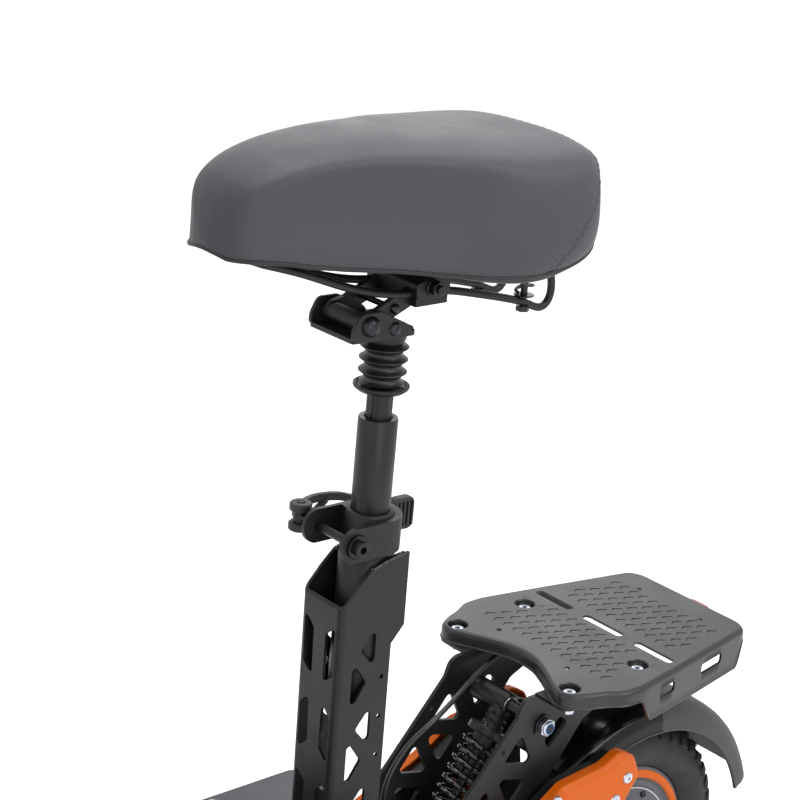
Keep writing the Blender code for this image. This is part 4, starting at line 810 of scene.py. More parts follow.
# %% Pan, rail and springs
pan_rings = []
for x, half, top, h in stations[10:-34]:
    wide = max(half - 9, 10)
    under = [(x, -wide, h - 0.3), (x, -wide + 1.2, h - 3.6), (x, -wide + 5, h - 6)]
    under += [(x, -wide * k, h - 7.6) for k in (0.6, 0.2)]
    pan_rings.append(under + [(x, -y, z) for _, y, z in reversed(under)])
pads = [block((-186, y - 9, 45), (-157, y + 9, 54)) for y in (-29, 29)]
piece("saddle_pan_shell", welded(skin(pan_rings), *pads), SEAT, polypropylene, "saddle", "saddle_pan", edge=0.8)

RAIL = [(103, 14, 61), (71, 24, 52), (16, 24, 32), (-29, 24, 22), (-79, 24, 19), (-124, 26.5, 10),
        (-164, 29, 0), (-190, 29, -9), (-201, 29, 2), (-197, 29, 26), (-182, 29, 41)]
WIRE_RADIUS = 3.5
near_rail = smooth_path(RAIL, 7)
far_rail = [Vector((p.x, -p.y, p.z)) for p in near_rail]
wire = tube(far_rail[:0:-1] + [(106, -7, 62), (107, 0, 62.3), (106, 7, 62)] + near_rail[1:], WIRE_RADIUS)
piece("saddle_rail_wire", wire, SEAT, powder_black, "saddle", "saddle_rail", edge=0.6)

for side, name in SIDES:
    x, y = -169, side * 29
    wound = moved(coil(3.2, 7, 33.5, 1.7, spring_gloss), at(x, y, 7.2))
    piece("coil_spring_" + name, wound, SEAT, spring_gloss, "saddle", "saddle_spring_" + name, edge=0, sharp=60)
    stud = rod((x, y, -9), (x, y, 46), 3, 24)
    washer = lathe([(3.1, 5.6), (9, 5.6), (9, 4.2), (3.1, 4.2)], (x, y, 0), closed=True, steps=40)
    cap = lathe([(0, 44.6), (8, 44.6), (8.6, 43.4), (8.6, 41.8), (0, 41.8)], (x, y, 0), steps=40)
    nut = rod((x, y, -9.5), (x, y, -4.6), 6.2, 6)
    piece("spring_stud_" + name, merged([stud, washer, cap, nut]), SEAT, oxide, "saddle", edge=0.5)

# %% [markdown]
# ## Saddle bracket
# The bracket is pressed steel. Two cheeks hold the pivot rivet; from the saddle's side a pair of jaws grips
# the rail wire with a cross bolt. Plates are cut from outlines, so each keeps its thickness and its radius.

# %% The rail's jaws
PIVOT_HOLE = 5.3
grooves = [tube([p for p in path if -95 < p.x < -30], WIRE_RADIUS + 0.4) for path in (near_rail, far_rail)]
jaws = drilled(block((-79, -31, 10.5), (-45, 31, 29.5)), *grooves)
arm = rounded([(-53, 12.5), (-8, -6.8), (4, -7.8, 8), (9, 0, 8), (5.5, 8.5, 8), (-10, 11, 6), (-49, 28)], 3)
lid = rounded([(-80, 17), (-44, 17), (-44, 30.5), (-62, 34), (-80, 30.5)], 4)
jaws = welded(jaws, *both_sides(arm, 18.6, 23.4), crossbar((0, 0), -24.6, 24.6, 8.2),
              sheet_metal("xz", lid, -32.5, 32.5, edge=0.6))
jaws = drilled(jaws, crossbar((0, 0), -40, 40, PIVOT_HOLE, 32))
piece("rail_jaws", jaws, SEAT, powder_black, "saddle", "rail_clamp", edge=0.9)

arm_pin = [(0, 26.8), (2.4, 26.4), (4.2, 25), (4.4, 23.5), (2.6, 23.5)]
arm_pin = lathe(arm_pin + [(r, -h) for r, h in reversed(arm_pin)], (-29, 0, 9.5), "Y", 40)
piece("arm_pin", arm_pin, SEAT, oxide, "saddle", edge=0, sharp=50)

jaw_bolt = (-62, 26)
head_bolt = []
for side in (1, -1):
    head_bolt += [crossbar(jaw_bolt, side * 32.6, side * 34.4, 8.2),
                  crossbar(jaw_bolt, side * 34.4, side * 40.4, 7.2, 6)]
head_bolt.append(crossbar(jaw_bolt, 40.4, 43.4, 3.8, 32))
piece("jaw_bolt", merged(head_bolt), SEAT, oxide, "saddle", edge=0.7)

# %% The forked head
foot = 352
pin_x = (PIN_X - POST_X) * math.cos(POST_LEAN) + PIN_Z * math.sin(POST_LEAN)
pin_z = PIN_Z * math.cos(POST_LEAN) - (PIN_X - POST_X) * math.sin(POST_LEAN)
cheek = rounded([(-6, foot + 1, 2), (pin_x + 18, foot + 1, 5), (pin_x + 17, foot + 12, 6),
                 (pin_x + 10.5, pin_z + 11.5, 8), (pin_x - 10, pin_z + 11.5, 8), (4, foot + 12, 6)], 4)
base = rounded([(-9, -29, 5), (pin_x + 17, -29, 3), (pin_x + 17, 29, 3), (-9, 29, 5)], 4, 5)
collar = lathe([(0, foot + 1), (18, foot + 1), (18, foot - 8), (16.4, foot - 11.7), (0, foot - 11.7)])
shaft = rod((0, 0, 228), (0, 0, foot + 2), 6, 32)
rib = rounded([(-9, foot + 2), (14, foot + 2), (4, foot + 8), (-6, foot + 8)], 3)
head = welded(sheet_metal("xy", base, foot, foot + 4), collar, shaft, *both_sides(cheek, 26, 29.9, edge=0.8),
              sheet_metal("xz", rib, -26, 26))
head = drilled(head, crossbar((pin_x, pin_z), -40, 40, PIVOT_HOLE, 32))
piece("forked_head", head, POST, powder_black, "saddle_head", "saddle_bracket", edge=0.9)

dome = [(0, 36.6), (3, 36.2), (6, 34.8), (8.4, 32.2), (8.8, 30.2), (5, 30.2)]
rivet = lathe(dome + [(r, -h) for r, h in reversed(dome)], (pin_x, 0, pin_z), "Y")
piece("pivot_rivet", rivet, POST, oxide, "saddle_head", "pivot_pin", edge=0, sharp=50)
small_dome = [(0, 33.4), (3, 32.9), (5.4, 31.4), (6, 30), (0, 30)]
rivets = [lathe([(r, side * h) for r, h in small_dome], (pin_x - 26, 0, pin_z - 5), "Y", 40)
          for side in (-1, 1)]
piece("cheek_rivets", merged(rivets), POST, oxide, "saddle_head", edge=0, sharp=50)

# %% [markdown]
# ## Sprung post
# The inner post slides in a rubber bellows. Its three ribs follow one rule, a sharp lip and a
# rounded waist at a steady pitch, so the profile is worked out by a function and turned on the lathe.

# %% Bellows, cup and post
def bellows_profile(low, high, lips, lip_radius, waist):
    """From the top down: thin lips with a slope under each of them and a waist between."""
    pitch = (high - low) / (lips + 0.35)
    profile = [(8.2, high), (waist + 0.8, high), (waist, high - 1.2)]
    for k in range(lips):
        top = high - pitch * (k + 0.3)
        belly = [(0.0, 0.96), (0.04, 1.02), (0.09, 0.98), (0.16, 0.78), (0.3, 0.4), (0.46, 0.14), (0.62, 0.1),
                 (0.78, 0.3), (0.92, 0.72)]
        profile += [(waist + (lip_radius - waist) * r, top - pitch * t) for t, r in belly]
    return profile + [(waist + 1.6, low + 1.5), (waist + 1.6, low), (8.2, low)]


BOOT_LOW, BOOT_HIGH = 303.4, 339.8
boot = lathe(bellows_profile(BOOT_LOW, BOOT_HIGH, 3, 20.8, 15.4), steps=96, closed=True)
bellows = piece("ribbed_bellows", boot, POST, boot_rubber, "saddle_head", "post_bellows", edge=0, sharp=75)
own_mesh(bellows)

cup = [(0, 301), (20.2, 301), (21.4, 302.4), (22.9, 303), (24, 302.3), (24.2, 300.8), (23.4, 299.4),
       (20.4, 297), (16, 295.6), (0, 295.4)]
core = drilled(welded(rod((0, 0, 183), (0, 0, 297), 11.6, 10), lathe(cup)),
               rod((0, 0, 212), (0, 0, 320), 6.3, 32))
piece("inner_post_and_cup", core, POST, powder_black, "seat_post", "post_core", edge=0.4)

outer = lathe([(17.2, 271.6), (16.6, 273), (12.4, 273), (12.4, 95), (16.4, 95), (17.2, 96)], steps=96,
              closed=True)
piece("outer_post", outer, POST, powder_deep, "seat_post", "seat_post", edge=0, sharp=60)

# %% [markdown]
# ## Clamp
# A strap of steel is bent round the receiver. Its two ends run forward as round ears, and a bolt pulls them
# together when the cam lever closes. The strap is one bent outline, cut round at the ears.

# %% Receiver and strap
receiver = [(21, 189), (20.4, 190), (17.6, 190), (17.6, 10), (24, 10), (24.5, 10.8), (24.5, 148.4), (21, 152)]
piece("welded_receiver", lathe(receiver, steps=96, closed=True), POST, powder_black, "frame", "receiver_tube",
      edge=0, sharp=60)

STRAP_OUTER, STRAP_INNER, STRAP_WALL, STRAP_FRONT = 28.0, 21.4, 4, 245 - POST_X
around = [math.pi * i / 40 for i in range(41)]
strap = [(STRAP_FRONT, STRAP_OUTER)]
strap += [(-STRAP_OUTER * math.sin(a), STRAP_OUTER * math.cos(a)) for a in around]
strap += [(STRAP_FRONT, -STRAP_OUTER), (STRAP_FRONT, -STRAP_OUTER + STRAP_WALL),
          (12, -STRAP_OUTER + STRAP_WALL)]
start = math.asin(12 / STRAP_INNER) + 0.1
strap += [(-STRAP_INNER * math.sin(a), -STRAP_INNER * math.cos(a)) for a in
          [-start + (math.pi + 2 * start) * i / 40 for i in range(41)]]
strap += [(12, STRAP_OUTER - STRAP_WALL), (STRAP_FRONT, STRAP_OUTER - STRAP_WALL)]
band = sheet_metal("xy", strap, 156, 187)
ear_x, ear_z = EAR = (STRAP_FRONT - 16, 171.5)
ends = [(ear_x + 40, ear_z - 40), (ear_x + 40, ear_z + 40), (ear_x - 2, ear_z + 40)]
ends += [(ear_x + 15.7 * math.sin(a), ear_z + 15.7 * math.cos(a))
         for a in [math.pi * i / 32 for i in range(33)]]
ends += [(ear_x - 2, ear_z - 40)]
band = drilled(drilled(band, sheet_metal("xz", ends, -50, 50)), crossbar(EAR, -60, 60, 4.3, 32))
piece("strap_clamp", band, POST, powder_black, "frame", "clamp_band", edge=0.8)

# %% [markdown]
# The bolt has a serrated washer and a socket head, whose hexagon is a real recess. The serrations are teeth
# set round the washer by the stamping tree.

# %% Clamp bolt
def around_axis(count, radius, centre, height=0.0, phase=0.0):
    """Places on a circle about the Y axis, each turned outwards."""
    made = []
    for i in range(count):
        angle = 2 * math.pi * i / count + phase
        spot = Vector(centre) + Vector((radius * math.cos(angle), height, radius * math.sin(angle)))
        made.append(Matrix.Translation(spot) @ Matrix.Rotation(-angle, 4, "Y"))
    return made


out, CAM_Y = 28.4, -50
bolt = lathe([(0, out + 9.4), (3.8, out + 9.4), (6.6, out + 9.2), (7, out + 8.8), (7, out + 2.4),
              (9.6, out + 2.4), (10, out + 2), (10, out + 0.3), (4, out + 0.3), (4, -57), (0, -57)],
              (ear_x, 0, ear_z), "Y")
bolt = drilled(bolt, crossbar(EAR, out + 4.8, out + 12, 3.6, 6))
bolt = welded(bolt, crossbar(EAR, -out - 7, -out, 8.5),
              rod((ear_x, CAM_Y, ear_z - 5), (ear_x, CAM_Y, ear_z + 5), 6.5, 40))
piece("clamp_socket_bolt", bolt, POST, oxide, "frame", "clamp_bolt", edge=0.4)
teeth = stamped(block((-0.9, -0.8, -0.45), (0.9, 0.8, 0.45)), around_axis(24, 9.9, (ear_x, out + 1.2, ear_z)),
                oxide)
piece("washer_teeth", teeth, POST, oxide, "frame", edge=0)

# %% [markdown]
# The cam lever turns on a pin between two discs. Its strap runs back round the post and ends in a thumb
# paddle, ribbed so that it can be pulled with a glove on.

# %% Cam lever
def ribbon(path, wide, thick):
    """A flat strap on edge along a path in the bench's level plane."""
    rings = []
    for i, spot in enumerate(path):
        along = (path[min(i + 1, len(path) - 1)] - path[max(i - 1, 0)]).normalized()
        side = along.cross(Vector((0, 0, 1))).normalized()
        rings.append([spot + side * s * thick / 2 + Vector((0, 0, u * wide / 2))
                      for s, u in ((-1, -1), (-1, 1), (1, 1), (1, -1))])
    return skin(rings)


def from_ear(points):
    """Points given from the ear's middle."""
    return smooth_path([(ear_x + x, y, ear_z + z) for x, y, z in points], 8)


discs = []
for low, high in ((ear_z + 5.2, ear_z + 12.6), (ear_z - 12.6, ear_z - 5.2)):
    discs.append(lathe([(0, high - 1.4), (3.2, high - 1.4), (4.2, high), (8.8, high), (10, high - 1.2),
                        (10, low + 1), (9.2, low), (0, low)], (ear_x, CAM_Y, 0), steps=56))
upper = from_ear([(-4, -54, 8.6), (-24, -60, 8.4), (-50, -58, 6), (-74, -49, -2), (-96, -37, -9)])
lower = from_ear([(-4, -54, -8.6), (-20, -59, -6), (-36, -59.6, 6)])
plate = rounded([(ear_x - 117, ear_z - 28), (ear_x - 91, ear_z - 28), (ear_x - 91, ear_z + 3),
                 (ear_x - 117, ear_z + 3)], 7)
lever = welded(discs[0], ribbon(upper, 7.2, 4.4), ribbon(lower, 6.4, 4.4), discs[1],
               sheet_metal("xz", plate, -42, -33, edge=1.4))
piece("cam_lever_arm", lever, POST, nylon_black, "cam_lever", "cam_lever", edge=0.8)
pin = lathe([(0, ear_z + 13.2), (2.2, ear_z + 12.8), (3, ear_z + 11.6), (3, ear_z + 5.4), (0, ear_z + 5.4)],
            (ear_x, CAM_Y, 0), steps=40)
piece("cam_pin", pin, POST, oxide, "cam_lever", edge=0, sharp=50)
bar = block((-1.1, -1.3, -11.5), (1.1, 1.3, 11.5))
places = [at(ear_x - 113.5 + 4.75 * i, y, ear_z - 12.5) for i in range(5) for y in (-32.4, -42.6)]
piece("paddle_ribs", stamped(bar, places, nylon_black), POST, nylon_black, "cam_lever", edge=0.5)

# %% [markdown]
# ## Seat column
# The column is a sheet folded into a channel, with triangles cut in its flanges and slanted slots in its
# web. The cut-outs repeat down the column at one pitch, so they are listed once and dropped by the pitch.

# %% Folded column
foot, pitch = -129.7, 76
channel = rounded([(165.5, 27.8, 0), (237, 27.8, 6.5), (237, -27.8, 6.5), (165.5, -27.8, 0), (165.5, -24.8, 0),
                   (234, -24.8, 3.5), (234, 24.8, 3.5), (165.5, 24.8, 0)], 4, 10)
column = sheet_metal("xy", channel, foot, 160)
flange_cuts, web_cuts = [], []
for k in range(3):
    drop = k * pitch
    flange_cuts.append([(196.5, 91 - drop), (213, 71 - drop), (196.5, 52 - drop)])
    high, low = (64, 14) if k < 2 else (70, 22)
    flange_cuts.append([(221, high - drop), (204, 39 - drop), (221, low - drop)])
slot, other = [(-21, 97), (-8, 86), (-7.5, 39), (-20.5, 50)], [(-9, 21), (-21, 9), (-21, -36), (-8, -24)]
for one in (slot, other, [(y, max(z - 151, -116)) for y, z in slot]):
    web_cuts += [one, [(-y, z) for y, z in reversed(one)]]
top = [(245, 113), (236.6, 113), (218, 134), (204, 147), (167, 154), (150, 155), (150, 194), (245, 194)]
back = [(150, foot - 10), (179, foot - 10), (179, 70), (165.1, 86), (150, 86)]
column = drilled(column, sheet_metal("xz", rounded(top, 6), -40, 40), sheet_metal("xz", back, -40, 40))
column = drilled(column, *[sheet_metal("xz", rounded(w, 3.4), -40, 40) for w in flange_cuts])
column = drilled(column, *[sheet_metal("yz", rounded(w, 3), 229, 245) for w in web_cuts],
                 *[sheet_metal("xz", circle(187, 40.4 - 38.5 * k, 2.2), -40, 40) for k in range(3)])
piece("folded_column", column, REAR, powder_black, "frame", "seat_column", edge=0.45)
print("column:", len(flange_cuts) * 2 + len(web_cuts), "cut-outs")

# %% [markdown]
# The weld between column and receiver shows as a lumpy, shining bead along the flanges. It is a row of
# flattened drops, each a little over the last, as a welder lays them.

# %% Weld beads
def bead_places(path, step):
    made = []
    walked = 0.0
    for a, b in zip(path, path[1:]):
        walked += (b - a).length
        while walked > 0:
            walked -= step
            along = (b - a).normalized()
            made.append(Matrix.Translation(b) @ along.to_track_quat("X", "Z").to_matrix().to_4x4())
    return made


BEAD_STEP = 2.4
seams = []
for side in (-1, 1):
    y = side * 25.6
    seams += bead_places(smooth_path([(204, y, 145.5), (190, y, 150), (171, y, 153)], 10), BEAD_STEP)
    seams += bead_places([Vector((180 + 0.02 * i, side * 24.6, 150 - 1.2 * i)) for i in range(52)], BEAD_STEP)
drops = stamped(ball(16, 10, 1, Matrix.Diagonal((2.6, 3.0, 1.9, 1))), seams, spring_gloss)
piece("weld_beads", drops, REAR, spring_gloss, "frame", edge=0, sharp=80)

# %% [markdown]
# ## Frame plates
# Two laser-cut plates carry the rack and the shock. The triangles are the same two shapes stepped down the
# slope of the plate, as in a lattice girder, with small round holes between them.

# %% Plates with their lattice
SLOPE, TUB_FRONT, PLATE_FOOT = -1.153, 169.7, -221
plate = [(-108, -15.6, 3), (31, -15.6, 18), (38, -35, 8), (TUB_FRONT, -31.5 + SLOPE * (TUB_FRONT - 35), 2),
         (TUB_FRONT, PLATE_FOOT, 2), (8 + 0.606 / 0.796 * (-134 - PLATE_FOOT), PLATE_FOOT, 8), (8, -134, 20),
         (-22, -95, 20), (-50, -58, 12), (-98, -36, 8)]
lattice = [[(108, -143), (129, -169.5), (92, -177)], [(-18, -46), (-1, -66), (-6, -80), (-30, -54)]]
for k in range(2):
    dx, dz = 39 * k, -46 * k
    lattice.append([(30 + dx, -51 + dz), (51 + dx, -77.5 + dz), (12 + dx, -87 + dz)])
    lattice.append([(57 + dx, -91 + dz), (38 + dx, -127 + dz), (18 + dx, -102 + dz)])
holes = [rounded(w, 4.5, 6) for w in lattice] + [circle(52.5 + 39 * k, -64.5 - 46 * k, 2.3) for k in range(3)]
holes += [circle(SHOCK_TOP.x, SHOCK_TOP.z, 4.4), circle(*ARM_PIVOT, 7.4)]
webs = both_sides(rounded(plate, 8, 8), 48.5, 52.5, holes)
for (side, name), web in zip(SIDES, reversed(webs)):
    flange = rounded([(x, side * y, r) for x, y, r in ((-108, 49.1, 0), (15, 49.1, 0), (15, 90, 10),
                                                       (-108, 90, 10))], 0)
    flange = sheet_metal("xy", flange, -17, -14, [circle(x, side * 78, 4.4) for x in (0, -90)])
    piece("lattice_plate_" + name, welded(web, flange), REAR, powder_black, "frame", "frame_plate_" + name,
          edge=0.5)

# %% [markdown]
# ## Luggage rack
# The rack is pressed from one sheet: a flat top, a soft bend of 5 mm all round, and a skirt that is deeper
# along the sides and ends in a rolled bead. Rings follow the outline from the top down the outside and back
# up the inside, so that the bend is truly round and carries one long highlight.

# %% Pressed rack
half_rack = [(-15, 0, 60), (-13, 18, 40), (-4, 38, 40), (11, 66, 12), (17.5, 79, 10), (10, 91, 12),
             (-4, 99, 30), (-22, 105, 30), (-39, 114.5, 20), (-62, 115, 40), (-120, 104.5, 60), (-205, 88, 50),
             (-243, 80.5, 14), (-250, 66, 12)]
outline = rounded(half_rack + [(x, -y, r) for x, y, r in reversed(half_rack[1:])], 10, 8)


def even(outline, step):
    """The outline with points at an even spacing."""
    closed = [Vector(p) for p in outline] + [Vector(outline[0])]
    made, left = [], 0.0
    for a, b in zip(closed, closed[1:]):
        length = (b - a).length
        while left < length:
            made.append(tuple(a + (b - a) * left / length))
            left += step
        left -= length
    return made


smooth_edge = [Vector(p) for p in even(outline, 3.0)]
for _ in range(2):
    smooth_edge = [(smooth_edge[i - 1] + 2 * p + smooth_edge[(i + 1) % len(smooth_edge)]) / 4
                   for i, p in enumerate(smooth_edge)]
BEND, WALL = 5.0, 2.5
QUARTER = [math.radians(a) for a in range(0, 91, 15)]


def skirt_ring(by, down, share):
    """A ring that far inside the outline; below the bend it goes a share of the way down the skirt."""
    ring = []
    for (x, y), (ox, oy) in zip(inset(smooth_edge, by), smooth_edge):
        deep = 14 + 26 * (1 - ramp(ox, -78, -56)) * ramp(ox, -242, -230) * ramp(abs(oy), 60, 70)
        ring.append((x, y, -down - (deep - BEND) * share))
    return ring


rings = [skirt_ring(BEND * (1 - math.sin(a)), BEND * (1 - math.cos(a)), 0) for a in QUARTER]
rings += [skirt_ring(0.0, BEND, share) for share in (0.25, 0.5, 0.75, 0.86)]
rings += [skirt_ring(-0.9, BEND, 0.93), skirt_ring(-0.9, BEND + 0.5, 0.97), skirt_ring(0.4, BEND + 0.4, 1.0)]
rings += [skirt_ring(WALL, BEND, share) for share in (0.99, 0.75, 0.5, 0.0)]
rings += [skirt_ring(WALL + 2.5 * (1 - math.sin(a)), WALL + 2.5 * (1 - math.cos(a)), 0)
          for a in QUARTER[-2::-1]]
rack = skin(rings)
rack = welded(rack, merged([rod((x, y, -13.7), (x, y, -1.5), 12) for x, y in RACK_BOLTS]))
slots = [sheet_metal("xy", rounded([(-126.8, a), (-116.8, a), (-116.8, b), (-126.8, b)], 4.8, 8), -5, 5)
         for a, b in ((-26.2, 26.2), (43.8, 92.9), (-92.9, -43.8))]
side_slots = []
for x in (-96, -181):
    slot = rounded([(x - 18.5, -22.5), (x + 18.5, -22.5), (x + 18.5, -12), (x - 18.5, -12)], 2.6, 8)
    side_slots += [sheet_metal("xz", slot, y, y + 40) for y in (70, -110)]
SMALL_HOLES = ((-26, 47.3), (-217.6, 41.8))
small = [rod((x, side * y, -8), (x, side * y, 5), 2.9, 24) for x, y in SMALL_HOLES for side in (-1, 1)]
wells = [lathe([(0, -10.2), (9.8, -10.2), (9.8, -1.1), (10.9, 0.2), (10.9, 5), (0, 5)], (x, y, 0), steps=56)
         for x, y in RACK_BOLTS]
shanks = [rod((x, y, -30), (x, y, -9), 4.3, 32) for x, y in RACK_BOLTS]
rack = drilled(drilled(rack, *slots, *side_slots, *small, *wells), *shanks)
print("rack outline:", len(smooth_edge), "points")

# %% [markdown]
# The top is pressed with a tread of small angled marks, half a step apart from row to row. The stamping
# tree sets the mark down on every place of the pattern, and one cut presses them all.

# %% Tread marks
def mark():
    """A groove with a long and a short arm that meet at an angle."""
    corner, long_end, short_end = Vector((0, 0)), Vector((-7.6, 4.6)), Vector((5.2, 2.5))
    one, two = Vector((4.6, 7.6)).normalized(), Vector((-2.5, 5.2)).normalized()
    outline = [long_end + one * 0.75, corner + Vector((0, 1.0)), short_end + two * 0.3, short_end - two * 0.3,
               corner + Vector((0, -1.0)), long_end - one * 0.75]
    return sheet_metal("xy", [tuple(p) for p in outline], -0.9, 2.0)


def on_tread(x, y):
    clear = all(math.hypot(x - bx, abs(y) - by) > gap for bx, by, gap in
                ((0, 78, 22), (-90, 78, 20), (*SMALL_HOLES[0], 9), (*SMALL_HOLES[1], 9)))
    return clear and abs(y) < (82 if x > -110 else 82 - (-130 - x) * 0.16)


LANE_STEP, MARK_STEP = 15.15, 13.33
lanes = [(first - LANE_STEP * i, i % 2) for first in (-42, -144.5) for i in range(5)]
spots = [(x, MARK_STEP * (k + 0.5 * odd)) for x, odd in lanes for k in range(-7, 8)]
marks = [at(x, y - 2, 0) for x, y in spots if on_tread(x, y)]
rack = eased(rack, 0.25, 42)
field = bmesh.new()
field.from_mesh(rack.data)


def parted(faces, spot, normal):
    """Parts these faces along a plane, so that each mark is cut from a small face of its own."""
    parts = list(dict.fromkeys(e for f in faces for e in (f, *f.edges, *f.verts)))
    bmesh.ops.bisect_plane(field, geom=parts, plane_co=spot, plane_no=normal)


def top_faces(low=-400, high=100):
    """The large level faces of the top between two places along the scooter."""
    return [f for f in field.faces if f.normal.z > 0.999 and f.calc_center_median().z > -0.05
            and low < f.calc_center_median().x < high and f.calc_area() > 20]


for x, _ in lanes:
    for spot in (x - 8.6, x + 6.6):
        parted(top_faces(), (spot, 0, 0), (1, 0, 0))
for x, odd in lanes:
    for k in range(-7, 8):
        parted(top_faces(x - 8.7, x + 6.7), (x, MARK_STEP * (k + 0.5 * (1 - odd)), 0), (0, 1, 0))
field.to_mesh(rack.data)
field.free()
rack = boolean(rack, stamped(mark(), marks, rack_coat), "DIFFERENCE")
piece("pressed_rack", rack, REAR, rack_coat, "frame", "luggage_rack", edge=0, sharp=40, flat=True)
print("tread marks:", len(marks))

# %% [markdown]
# Four socket screws hold the rack to the plates' flanges, sunk in its wells, each with a nut below. One
# screw is drawn, hexagon recess and all, and set down four times.

# %% Rack screws
screw = lathe([(0, 0), (5.6, 0), (6.5, -0.9), (6.5, -6.2), (4, -6.2), (4, -22), (3.4, -22.6), (0, -22.6)],
              (0, 0, -3.6), steps=40)
screw = drilled(screw, rod((0, 0, -7.2), (0, 0, 1), 2.9, 6))
nut = rod((0, 0, -24.2), (0, 0, -17.6), 7.2, 6)
spots = [at(x, y, -0.2) for x, y in RACK_BOLTS]
piece("rack_screws", stamped(screw, spots, zinc), REAR, zinc, "frame", edge=0.3)
piece("rack_nuts", stamped(nut, spots, zinc), REAR, zinc, "frame", edge=0.6)

lamp = rounded([(-246.6, -17, 2), (-246.6, 17, 2), (-268, 15, 9), (-268, -15, 9)], 2, 8)
lamp = sheet_metal("xy", lamp, -28, -10, edge=1.6)
rib = block((-268.2, -13, -0.5), (-250, 13, 0.5))
ribs = stamped(rib, [at(0, 0, z) for z in (-24.6, -21.8, -19, -16.2, -13.4)], red_lens)
piece("tail_lamp", boolean(lamp, ribs, "UNION"), REAR, red_lens, "frame", "tail_light", edge=0.3)

# %% [markdown]
# ## Shock absorber
# A gloss-black coil sits round a damper between two eyes. The coil is wound by its tree and laid along the
# damper's line; the damper's body and rod are turned on the lathe along the same line.

# %% Damper and coil
along_shock = (SHOCK_FOOT - SHOCK_TOP).normalized()
L = (SHOCK_FOOT - SHOCK_TOP).length
ALONG = Matrix.Translation(SHOCK_TOP) @ along_shock.to_track_quat("Z", "Y").to_matrix().to_4x4()
eye_profile = [(0, 18), (8.4, 18), (9.5, 17), (9.5, -17), (8.4, -18), (0, -18)]
top_eye = [(0, 8), (10.4, 8), (11.4, 7), (11.4, -37), (10.4, -38), (0, -38)]
top_bolt = (SHOCK_TOP.x, SHOCK_TOP.z)
neck = lathe([(0, 4), (9.8, 4), (10.6, 8), (10.6, 13), (9.6, 14), (9.6, 15.4), (10.6, 16.4), (10.6, 19.6),
              (9.6, 20.6), (9.6, 22), (11, 23), (11.6, 28), (20.2, 28), (21, 28.8), (21, 35), (20.2, 35.8),
              (12, 35.8), (12, 80), (0, 80)])
body = welded(moved(neck, ALONG), lathe(top_eye, SHOCK_TOP, "Y", 96))
body = drilled(body, crossbar(top_bolt, -45, 30, 4.3, 32), moved(rod((0, 0, 60), (0, 0, 95), 5.3, 32), ALONG))
piece("damper_body", body, REAR, powder_deep, "shock_upper", "shock_body", edge=0.5)
bush = [lathe([(4.4, h), (9.2, h), (9.2, h + side * 1.4), (8.6, h + side * 2), (4.4, h + side * 2)], SHOCK_TOP,
              "Y", 56, closed=True) for side, h in ((1, 7), (-1, -37))]
piece("eye_bushes", merged(bush), REAR, machined, "shock_upper", edge=0)

foot = lathe([(0, L - 41), (4.9, L - 41), (4.9, L - 40.2), (19.8, L - 40.2), (21, L - 39), (21, L - 29),
              (20, L - 28), (11.4, L - 28), (11.4, L - 6), (9.5, L - 3), (0, L - 3)])
foot = welded(moved(foot, ALONG), moved(rod((0, 0, 70), (0, 0, L - 35), 5, 40), ALONG),
              lathe(eye_profile, SHOCK_FOOT, "Y"), crossbar((SHOCK_FOOT.x, SHOCK_FOOT.z), -28, 14, 4, 40))
piece("damper_rod", foot, REAR, oxide, "shock_lower", "shock_rod", edge=0.5)

wound = coil(8, 18, L - 76 - 2 * 3.05, 2.75, spring_gloss)
wound = moved(moved(wound, at(0, 0, 39.05)), ALONG)
spring = piece("coil_over_spring", wound, REAR, spring_gloss, "shock_upper", "shock_spring", edge=0, sharp=60)
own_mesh(spring)

# %% [markdown]
# The cross bolt ends in zinc nuts with a blue nylon ring that stops them turning loose. A spacer fills the
# gap between the damper's eye and each plate, and a wide black washer lies under each nut.

# %% Cross bolt
blue_nylon = grained("nylon_ring_blue", "#1c5fa8", "#2a6fba", (0.35, 0.45), 4, 0.5, 0.1, ior=1.53)
spacers, nuts, inserts = [], [], []
for side, inner in ((-1, -39.2), (1, 9.2)):
    spacers += [crossbar(top_bolt, inner, side * 48.2, 6.5, 40),
                crossbar(top_bolt, side * 52.8, side * 54.6, 12, 6)]
    nuts.append(crossbar(top_bolt, side * 54.7, side * 60.2, 9.4, 6))
cross = welded(crossbar(top_bolt, -62.5, 63.5, 4, 40), *spacers)
piece("cross_bolt", cross, REAR, oxide, "frame", "shock_bolt", edge=0.5)
for side in (-1, 1):
    collar = [(4.1, 60.1), (7.4, 60.1), (7, 61.9), (5.2, 62.4), (4.1, 62.4)]
    insert = [(4.05, 62.35), (5.4, 62.35), (5.2, 62.9), (4.05, 62.9)]
    for turned, rings in ((collar, nuts), (insert, inserts)):
        rings.append(lathe([(r, side * h) for r, h in turned], SHOCK_TOP, "Y", 40, closed=True))
piece("lock_nuts", merged(nuts), REAR, zinc, "frame", edge=0.7)
piece("nylon_rings", merged(inserts), REAR, blue_nylon, "frame", edge=0)

# %% [markdown]
# ## Swingarm and covers
# The arm is welded steel, and a shell of orange plastic with a sloping rim is screwed to each side of it.

